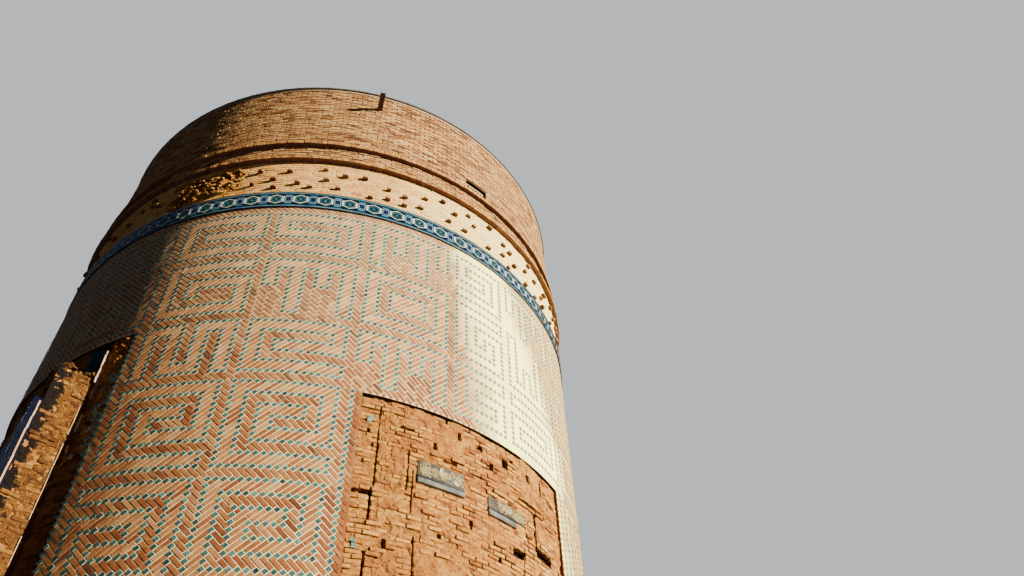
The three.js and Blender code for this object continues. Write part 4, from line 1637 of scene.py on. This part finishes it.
def add_panel_tiles(glaze):
    """Two bits of carved mosaic with a glazed ledge below each and a dark bar over each ledge, a painted
    shadow line, and loose glazed squares.
    """
    carved = tile_glaze("carved_ground", (92, 84, 66), (56, 54, 48))
    curls = tile_glaze("carved_curls", (226, 208, 152), (186, 166, 112))
    ledge = tile_glaze("ledge_glaze", (156, 160, 156), (96, 106, 110))
    shadow = tile_glaze("ledge_groove", (40, 48, 50), (28, 32, 34))
    shapes = block_set("curl_shape", [curl_shape(), flat_shape("square", rectangle(0, 0, 0.03, 0.03), 0.02)])
    draw = random.Random(71)
    for side, middle in PANEL_SIDES:
        grown, loose = Lay(), Lay()
        for number, ((start, end, foot, high), low, ledge_end, bare) in enumerate((
            (TILE_BEDS[0], 7.805, -3.5, 0.4), (TILE_BEDS[1], 7.735, 7.5, 2.2),
        )):
            first, last, ledge_last = middle + start, middle + end, middle + ledge_end
            for kind, stop, look, profile in (
                ("bit", last, carved, ((TILE_BACK, low), (4.958, low), (4.958, high), (TILE_BACK, high))),
                ("ledge", ledge_last, ledge, (
                    (TILE_BACK, foot), (4.978, foot + 0.008), (4.985, foot + 0.025), (4.962, low - 0.028),
                    (TILE_BACK, low - 0.028))),
                # A dark bar over each ledge, a painted shadow line
                ("groove", ledge_last, shadow, (
                    (TILE_BACK, low - 0.03), (4.972, low - 0.03), (4.972, low + 0.002),
                    (TILE_BACK, low + 0.002))),
            ):
                name = f"tile_{kind}_{side}_{number}"
                solid = bmesh.new()
                bent_bar(solid, profile, first, stop, max(2, round(abs(stop - first) * 1.5)))
                keep(name, closed_mesh(name, solid, look), "glazed_tile")
            for _ in range(70):
                azimuth = draw.uniform(first + bare, last - 0.4)
                spot = on_drum(azimuth, 4.963, draw.uniform(low + 0.035, high - 0.035))
                size = draw.uniform(0.55, 1.15)
                grown.add(spot, draw.uniform(0, math.tau), 0, draw.random(), (size, size, 1))
        keep_laid(f"tile_curls_{side}", grown, "glazed_tile", shapes, curls, tilt=0.1, depth=0.002, seed=17)
        for azimuth, z in ((-19.6, 8.52), (-19.9, 8.47), (-20.4, 6.7), (-20.2, 6.63), (16, 7.3)):
            loose.add(on_drum(middle + azimuth, 4.962, z), draw.uniform(-0.8, 0.8), 1, 0.1)
        keep_laid(f"loose_tiles_{side}", loose, "glazed_tile", shapes, glaze, tilt=0.2, depth=0.002, seed=17)
    drop(shapes)


def add_vents(look):
    """Each vent keeps a low plaster lattice of slanting bars, with an open slot over it."""
    width = math.degrees(VENT_HALF_WIDTH / VENT_FACE)
    foot, head = VENT_BOTTOM + 0.02, VENT_BOTTOM + 0.145
    for side, middle in PANEL_SIDES:
        solid = bmesh.new()
        left, right = middle - width, middle + width * 0.72
        for low, high, first, last in (
            (VENT_BOTTOM, foot, left, right), (head, VENT_BOTTOM + 0.165, left, right),
            (VENT_BOTTOM, VENT_BOTTOM + 0.16, left, left + 0.35),
            (VENT_BOTTOM, VENT_BOTTOM + 0.16, right - 0.35, right),
        ):
            profile = ((VENT_BACK, low), (VENT_FACE, low), (VENT_FACE, high), (VENT_BACK, high))
            bent_bar(solid, profile, first, last, 8)
        for number in range(6):
            start = left + 0.5 + number * (right - left - 1.2) / 5.5
            corners = ring(solid, [
                on_drum(turn, radius, z)[0]
                for z, azimuth in ((foot, start), (VENT_BOTTOM + 0.14, start + 0.75))
                for radius in (VENT_BACK, VENT_FACE - 0.004)
                for turn in (azimuth, azimuth + 0.26)
            ])
            for face in ((0, 1, 3, 2), (4, 5, 7, 6), (0, 1, 5, 4), (2, 3, 7, 6), (0, 2, 6, 4), (1, 3, 7, 5)):
                solid.faces.new([corners[i] for i in face])
        name = f"vent_lattice_{side}"
        keep(name, closed_mesh(name, solid, look), "grille_iron", f"vent_grille_{side}")


def lay_stones(lay, draw, place, bottom, top, start, end, unit=1.0, rows=2, where=None):
    """Courses of dressed stones. place tells a spot from its distance along, its height and how far out."""
    pitch = (top - bottom) / rows
    count = max(1, round((end - start) * unit / STONE_STEP))
    step = (end - start) / count
    for row in range(rows):
        shift = 0.5 * (row % 2)
        inner = [start + step * (i + shift + draw.uniform(-0.12, 0.12)) for i in range(1 - row % 2, count)]
        joints = [start, *inner, end]
        for left, right in zip(joints, joints[1:]):
            middle = (left + right) / 2
            if right - left < 0.2 * step or where and not where(middle):
                continue
            size = (((right - left) * unit - 0.009) / STONE_LENGTH, (pitch - 0.008) / STONE_HEIGHT, 1)
            spot = place(middle, bottom + (row + 0.5) * pitch, 0.006)
            lay.add(spot, 0, draw.randrange(STONE_VARIANTS), draw.gauss(0.4, 0.25), size)


def add_stones(look):
    """Dressed stones on the plinth's rim, on the portal bases and round the doorways."""
    blocks = block_set("stone_block", [
        block_mesh("stone", STONE_LENGTH, STONE_HEIGHT, 0.05, 0.008, 0.01, 700 + number)
        for number in range(STONE_VARIANTS)
    ])
    draw = random.Random(73)
    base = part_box("plinth")[1][1]
    plinth, doors = Lay(), Lay()

    def clear(azimuth):
        return abs(math.cos(math.radians(azimuth))) * PLINTH_RADIUS > BASE_HALF_WIDTH + 0.07

    lay_stones(plinth, draw, round_wall(PLINTH_RADIUS), 0, PLINTH_TOP, -180, 180, DEGREE, where=clear)
    for side in (1, -1):
        lay_stones(plinth, draw, flat_front(side, base), 0, PLINTH_TOP, -BASE_HALF_WIDTH, BASE_HALF_WIDTH,
                   where=lambda x: abs(x) > 1.3)
        for hand in (1, -1):
            first, last = sorted((-hand * base, -hand * BASE_BACK))
            lay_stones(plinth, draw, flank(side, hand, BASE_HALF_WIDTH), 0, PLINTH_TOP, first, last)
        door = flat_front(side, NICHE_BACK + 0.03)
        reach = DOOR_HALF_WIDTH + SURROUND_WIDTH
        for hand in (1, -1):
            ends = sorted((hand * (DOOR_HALF_WIDTH + 0.01), hand * reach))
            lay_stones(doors, draw, door, PLINTH_TOP, DOOR_TOP, *ends, rows=5)
        lay_stones(doors, draw, door, DOOR_TOP, DOOR_TOP + 0.28, -reach, reach, rows=1)
    for name, lay in (("plinth_stones", plinth), ("door_surrounds", doors)):
        keep_laid(name, lay, "plinth_stone", blocks, look, tilt=0.006, depth=0.002, seed=18)
    drop(blocks)


def add_roof_seams(look):
    """Standing seams of the sheet roof, from near the top to the eaves, and the cap over them."""
    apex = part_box("roof")[1][2]
    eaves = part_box("roof")[1][0] - 0.004
    slope = (apex - (RIM_TOP + ROOF_EDGE)) / eaves
    solid = bmesh.new()
    section = ((-0.016, -0.004), (0.016, -0.004), (0.011, 0.016), (0, 0.022), (-0.011, 0.016))
    tube(solid, [ring(solid, [(radius, y, apex - radius * slope + rise) for y, rise in section])
                 for radius in (0.34, eaves)])
    keep_turned("roof_seams", closed_mesh("seam", solid), "roof_sheet", SEAM_COUNT, 0.02, look)
    rim = apex - CAP_RADIUS * slope
    profile = ((CAP_RADIUS, rim - 0.01), (CAP_RADIUS, rim + 0.026), (0.15, apex - 0.002))
    cap = bmesh.new()
    rings = [ring(cap, [on_drum(step * 15, radius, z)[0] for radius, z in profile]) for step in range(24)]
    foot, tip = ring(cap, [(0, 0, apex - 0.03), (0, 0, apex + 0.006)])
    for here, there in zip(rings, rings[1:] + rings[:1]):
        cap.faces.new((foot, here[0], there[0]))
        for i in (0, 1):
            cap.faces.new((here[i], here[i + 1], there[i + 1], there[i]))
        cap.faces.new((here[2], tip, there[2]))
    keep("roof_cap", closed_mesh("roof_cap", cap, look), "roof_sheet")


# The tile band: thin glazed plates on a dark ring, one colour to a piece

BAND_MIDDLE = (FACING_TOP + BAND_TOP) / 2
BAND_MOTIFS = 77
BAND_START = -23.72


def bent(x, y, out):
    """A point of the flat band design, laid round the tower at azimuth 0."""
    return on_drum(math.degrees(x / BAND_RADIUS), BAND_RADIUS + out, BAND_MIDDLE + y)[0]


def add_tile(solid, outline, out, inner=None):
    add_plate(solid, bent, outline, out, -0.004, inner, out)


def hexagon(half_width, half_height, shoulder):
    return ((half_width, shoulder), (0, half_height), (-half_width, shoulder),
            (-half_width, -shoulder), (0, -half_height), (half_width, -shoulder))


def rectangle(x, y, half_width, half_height):
    return ((x + half_width, y - half_height), (x + half_width, y + half_height),
            (x - half_width, y + half_height), (x - half_width, y - half_height))


def band_parts():
    """The repeat of the band, a colour at a time: a hexagon medallion, and a square between two."""
    pitch = 2 * math.pi * BAND_RADIUS / BAND_MOTIFS
    white, turquoise, teal, pale, navy = (bmesh.new() for _ in range(5))
    add_tile(white, hexagon(0.110, 0.122, 0.070), 0.0065, hexagon(0.095, 0.105, 0.061))
    add_tile(turquoise, hexagon(0.080, 0.072, 0.040), 0.005, hexagon(0.064, 0.056, 0.032))
    add_tile(turquoise, hexagon(0.028, 0.026, 0.014), 0.005)
    for side in (-1, 1):
        edge = side * pitch / 2
        add_tile(white, rectangle(edge - side * 0.084, 0, 0.011, 0.074), 0.007)
        add_tile(teal, rectangle(edge - side * 0.036, 0, 0.036, 0.150), 0.003)
        add_tile(navy, rectangle(edge - side * 0.0185, 0, 0.0185, 0.046), 0.0055)
        for y in (0.066, -0.066, 0.102, -0.102):
            add_tile(pale, rectangle(edge - side * 0.027, y, 0.027, 0.0065), 0.0052)
        add_tile(pale, rectangle(edge - side * 0.050, 0, 0.0055, 0.060), 0.0052)
    for y in (0.162, -0.162):
        add_tile(turquoise, rectangle(0, y, pitch / 2, 0.0065), 0.0055)
    for y in (0.180, -0.180):
        add_tile(pale, rectangle(0, y, pitch / 2, 0.0045), 0.006)
    return {"white": white, "turquoise": turquoise, "teal": teal, "pale_blue": pale, "navy": navy}


def lathe(name, profile, steps, look):
    """A full turn of a closed profile of [radius, height] corners, run counter-clockwise."""
    solid = bmesh.new()
    rings = [ring(solid, [on_drum(step * 360 / steps, radius, z)[0] for radius, z in profile])
             for step in range(steps)]
    for here, there in zip(rings, rings[1:] + rings[:1]):
        bridge(solid, here, there)
    return closed_mesh(name, solid, look)


def tile_looks():
    return {
        "white": tile_glaze("tile_white", (232, 240, 234), (204, 222, 220), crazed=0.2),
        "turquoise": tile_glaze("tile_turquoise", (68, 138, 152), (40, 102, 124)),
        "pale_blue": tile_glaze("tile_pale_blue", (156, 200, 228), (114, 168, 208)),
        "navy": tile_glaze("tile_navy", (26, 44, 96), (14, 26, 64)),
        "recess": tile_glaze("recess_tile", (12, 72, 78), (8, 44, 54), gloss=0.12),
        "teal": tile_glaze("tile_teal", (22, 72, 106), (12, 46, 80)),
        "ground": tile_glaze("tile_ground", (12, 26, 56), (6, 14, 38)),
    }


def add_band(looks):
    low_lip, ground, high_lip = BAND_RADIUS + 0.006, BAND_RADIUS - 0.001, BAND_RADIUS + 0.008
    profile = ((CORE_RADIUS, FACING_TOP), (low_lip, FACING_TOP), (low_lip, FACING_TOP + 0.012),
               (ground, FACING_TOP + 0.016), (ground, BAND_TOP - 0.014), (high_lip, BAND_TOP - 0.010),
               (high_lip, BAND_TOP), (CORE_RADIUS, BAND_TOP))
    keep("band_ground", lathe("band_ground", profile, 308, looks["ground"]), "glazed_tile", "tile_band")
    for shade, solid in band_parts().items():
        keep_turned(f"band_tiles_{shade}", closed_mesh(shade, solid), "glazed_tile",
                    BAND_MOTIFS, math.radians(BAND_START), looks[shade])


# Camera and light

EYE = Vector((11.934, -6.213, 1.6))
LOOK_AZIMUTH = math.radians(134.72)
LOOK_PITCH = math.radians(48.06)
LOOK_ROLL = math.radians(-3.72)
SUN_AZIMUTH = math.radians(27.5)
SUN_HEIGHT = math.radians(18)


def direction(azimuth, height):
    """The way to look for an azimuth and a height over the horizon, both in radians."""
    level = math.cos(height)
    return Vector((math.cos(azimuth) * level, math.sin(azimuth) * level, math.sin(height)))


def add_camera():
    ahead = direction(LOOK_AZIMUTH, LOOK_PITCH)
    level = Vector((math.sin(LOOK_AZIMUTH), -math.cos(LOOK_AZIMUTH), 0))
    rise = level.cross(ahead)
    right = level * math.cos(LOOK_ROLL) + rise * math.sin(LOOK_ROLL)
    up = rise * math.cos(LOOK_ROLL) - level * math.sin(LOOK_ROLL)
    data = bpy.data.cameras.new("camera")
    data.sensor_width = 36
    data.lens = 28.51
    data.clip_end = 400
    camera = in_scene("camera", data)
    turn = Matrix((right, up, -ahead)).transposed()
    camera.matrix_world = Matrix.Translation(EYE) @ turn.to_4x4()
    bpy.context.scene.camera = camera


def add_sun(name, azimuth, height, energy, angle, shade):
    data = bpy.data.lights.new(name, "SUN")
    data.energy = energy
    data.angle = math.radians(angle)
    data.color = shade
    lamp = in_scene(name, data)
    lamp.rotation_euler = direction(azimuth, height).to_track_quat("Z", "Y").to_euler()


def add_light():
    """A low warm key, a weak soft light behind the tower, and a dim even fill under a pale backdrop."""
    add_sun("low_key", SUN_AZIMUTH, SUN_HEIGHT, 26.0, 1.5, (1.0, 0.86, 0.63))
    add_sun("soft_back", math.radians(165), math.radians(35), 4.4, 25, (0.92, 0.95, 1.0))
    world = bpy.data.worlds.new("studio")
    world.use_nodes = True
    w = Wiring(world.node_tree)
    fill = w.tree.nodes["Background"]
    fill.inputs["Color"].default_value = (0.44, 0.62, 1.0, 1)
    fill.inputs["Strength"].default_value = 0.075
    backdrop = w.node("ShaderNodeBackground", {"Color": (0.86, 0.90, 0.95, 1), "Strength": 0.75})
    seen = w.node("ShaderNodeLightPath", output="Is Camera Ray")
    either = w.node("ShaderNodeMixShader", {0: seen, 1: fill.outputs["Background"], 2: backdrop})
    w.put(w.tree.nodes["World Output"].inputs["Surface"], either)
    bpy.context.scene.world = world


def add_rim_mortar(look):
    """The pale mortar fillet over the last course, just under the eaves."""
    low, high, back = RIM_TOP - 0.055, RIM_TOP - 0.004, RIM_RADIUS - 0.01
    profile = ((back, low), (RIM_RADIUS + 0.016, low + 0.008), (RIM_RADIUS + 0.022, high), (back, high))
    keep("rim_mortar", lathe("rim_mortar", profile, 288, look), "plain_brick")


def add_floor():
    """A pale floor that throws little light back up, so that the shaded side stays deep."""
    mesh = bpy.data.meshes.new("floor_plane")
    corners = [(60 * x, 60 * y, 0) for x, y in ((-1, -1), (1, -1), (1, 1), (-1, 1))]
    mesh.from_pydata(corners, [], [(0, 1, 2, 3)])
    f = Finish("pale_floor", roughness=0.8)
    pale = f.mix(f.noise(0.4, 3), colour(206, 202, 194), colour(216, 212, 204))
    bounce = f.node("ShaderNodeLightPath", output="Is Diffuse Ray")
    mesh.materials.append(f.coat(f.mix(bounce, pale, colour(54, 62, 86))))
    ground = in_scene("studio_floor", mesh)


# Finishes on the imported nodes

def dress_nodes(limestone, tin):
    bed = mortar("mortar_bed", (1.24, 1.22, 1.16, 1), highlight_strength=0.8)
    pale = mortar("pale_mortar")
    brown = mortar("brown_mortar", colour(206, 176, 140))
    core = rubble("bare_core")
    # The recess core is painted darker and bluer: painted shade of the recess
    recess = rubble("recess_core", shade=(0.74, 0.72, 0.9, 1))
    looks = {
        "drum_wall_": bed, "wall_over_": bed, "tile_band": bed,
        "side_panel_": core, "portal_wall_": recess, "portal_pier_": core, "portal_front_": core,
        "belt_wall_": pale, "corbel_courses_": brown, "upper_drum_": brown,
        "portal_facing_": tile_glaze("slab_blue", (7, 16, 48), (4, 9, 30), crazed=0.06, gloss=0.12),
        "plinth": limestone, "door_step_": limestone, "floor": paving(),
        "roof_spout": sheet_metal("spout_rust", (84, 54, 42), (58, 38, 32), (104, 62, 42), 0.3),
        "roof": tin,
        "vent_grille_": sheet_metal("grille_paint", (86, 76, 66), (60, 52, 46), (112, 70, 46), 0.5),
    }
    for name, piece in nodes.items():
        start = max((key for key in looks if name.startswith(key)), key=len)
        for slot in piece.material_slots:
            slot.material = looks[start]


add_camera()
add_light()
add_floor()
limestone = stone()
tin = sheet_metal("roof_tin", (104, 98, 90), (76, 70, 64), (120, 84, 62), 0.5)
dress_nodes(limestone, tin)
glaze_look = square_glaze()
add_facing((facing_brick(), glaze_look))
courses = course_blocks()
plain_look = plain_brick("plain_brick_face", lift=(0.97, 1.0, 1.4, 1))
# The belt's bricks carry a painted light, paler on the key light's side
belt_look = plain_brick("belt_brick_face", lift=(1.42, 1.22, 1.0, 1), paling=0.5)
# The ring bricks' undersides and arrises take a pinkish-brown painted shade
ring_look = plain_brick("ring_brick_face", soot=(116, 78, 88))
add_plain_courses(plain_look, belt_look, courses)
add_ring_bricks(ring_look, courses)
core_look = core_brick("core_brick_face", (1.17, 1.18, 1.18, 1))
flank_look = core_brick("flank_brick_face", (0.55, 0.58, 0.56, 1))
skin = rubble("core_mortar", shaded_from=CORE_RADIUS - 0.03, shade=(1.08, 1.08, 1.08, 1))
ruin_skin = rubble("ruin_mortar", shaded_from=BELT_RADIUS - 0.075, shade=(1.3, 1.25, 1.15, 1))
add_belt_stubs(plain_look, courses)
add_belt_ruin(core_look, courses, ruin_skin)
add_vents(mortar("vent_plaster", (0.85, 0.78, 0.78, 1)))
add_stones(limestone)
add_panels(core_look, courses, skin)
tiles = tile_looks()
# The flank's skin carries a near-black painted shadow along its broken edge by the slab
flank_skin = rubble("flank_mortar", gap_shadow_from=4.84, shade=(0.52, 0.52, 0.42, 1), specked=0.52)
# The recess's rubble patch is painted lighter, a painted light where the recess lies in shade
patch_skin_painted_lit = rubble("patch_mortar", shade=(1.3, 1.1, 1.0, 1))
add_portals(flank_look, courses, flank_skin, patch_skin_painted_lit, tiles)
add_remnants((core_look, glaze_look))
add_panel_tiles(glaze_look)
add_band(tiles)
add_roof_seams(tin)
add_rim_mortar(mortar("rim_mortar", (1.05, 0.95, 0.9, 1)))
drop(courses)
bpy.data.node_groups.remove(LAYING.tree)
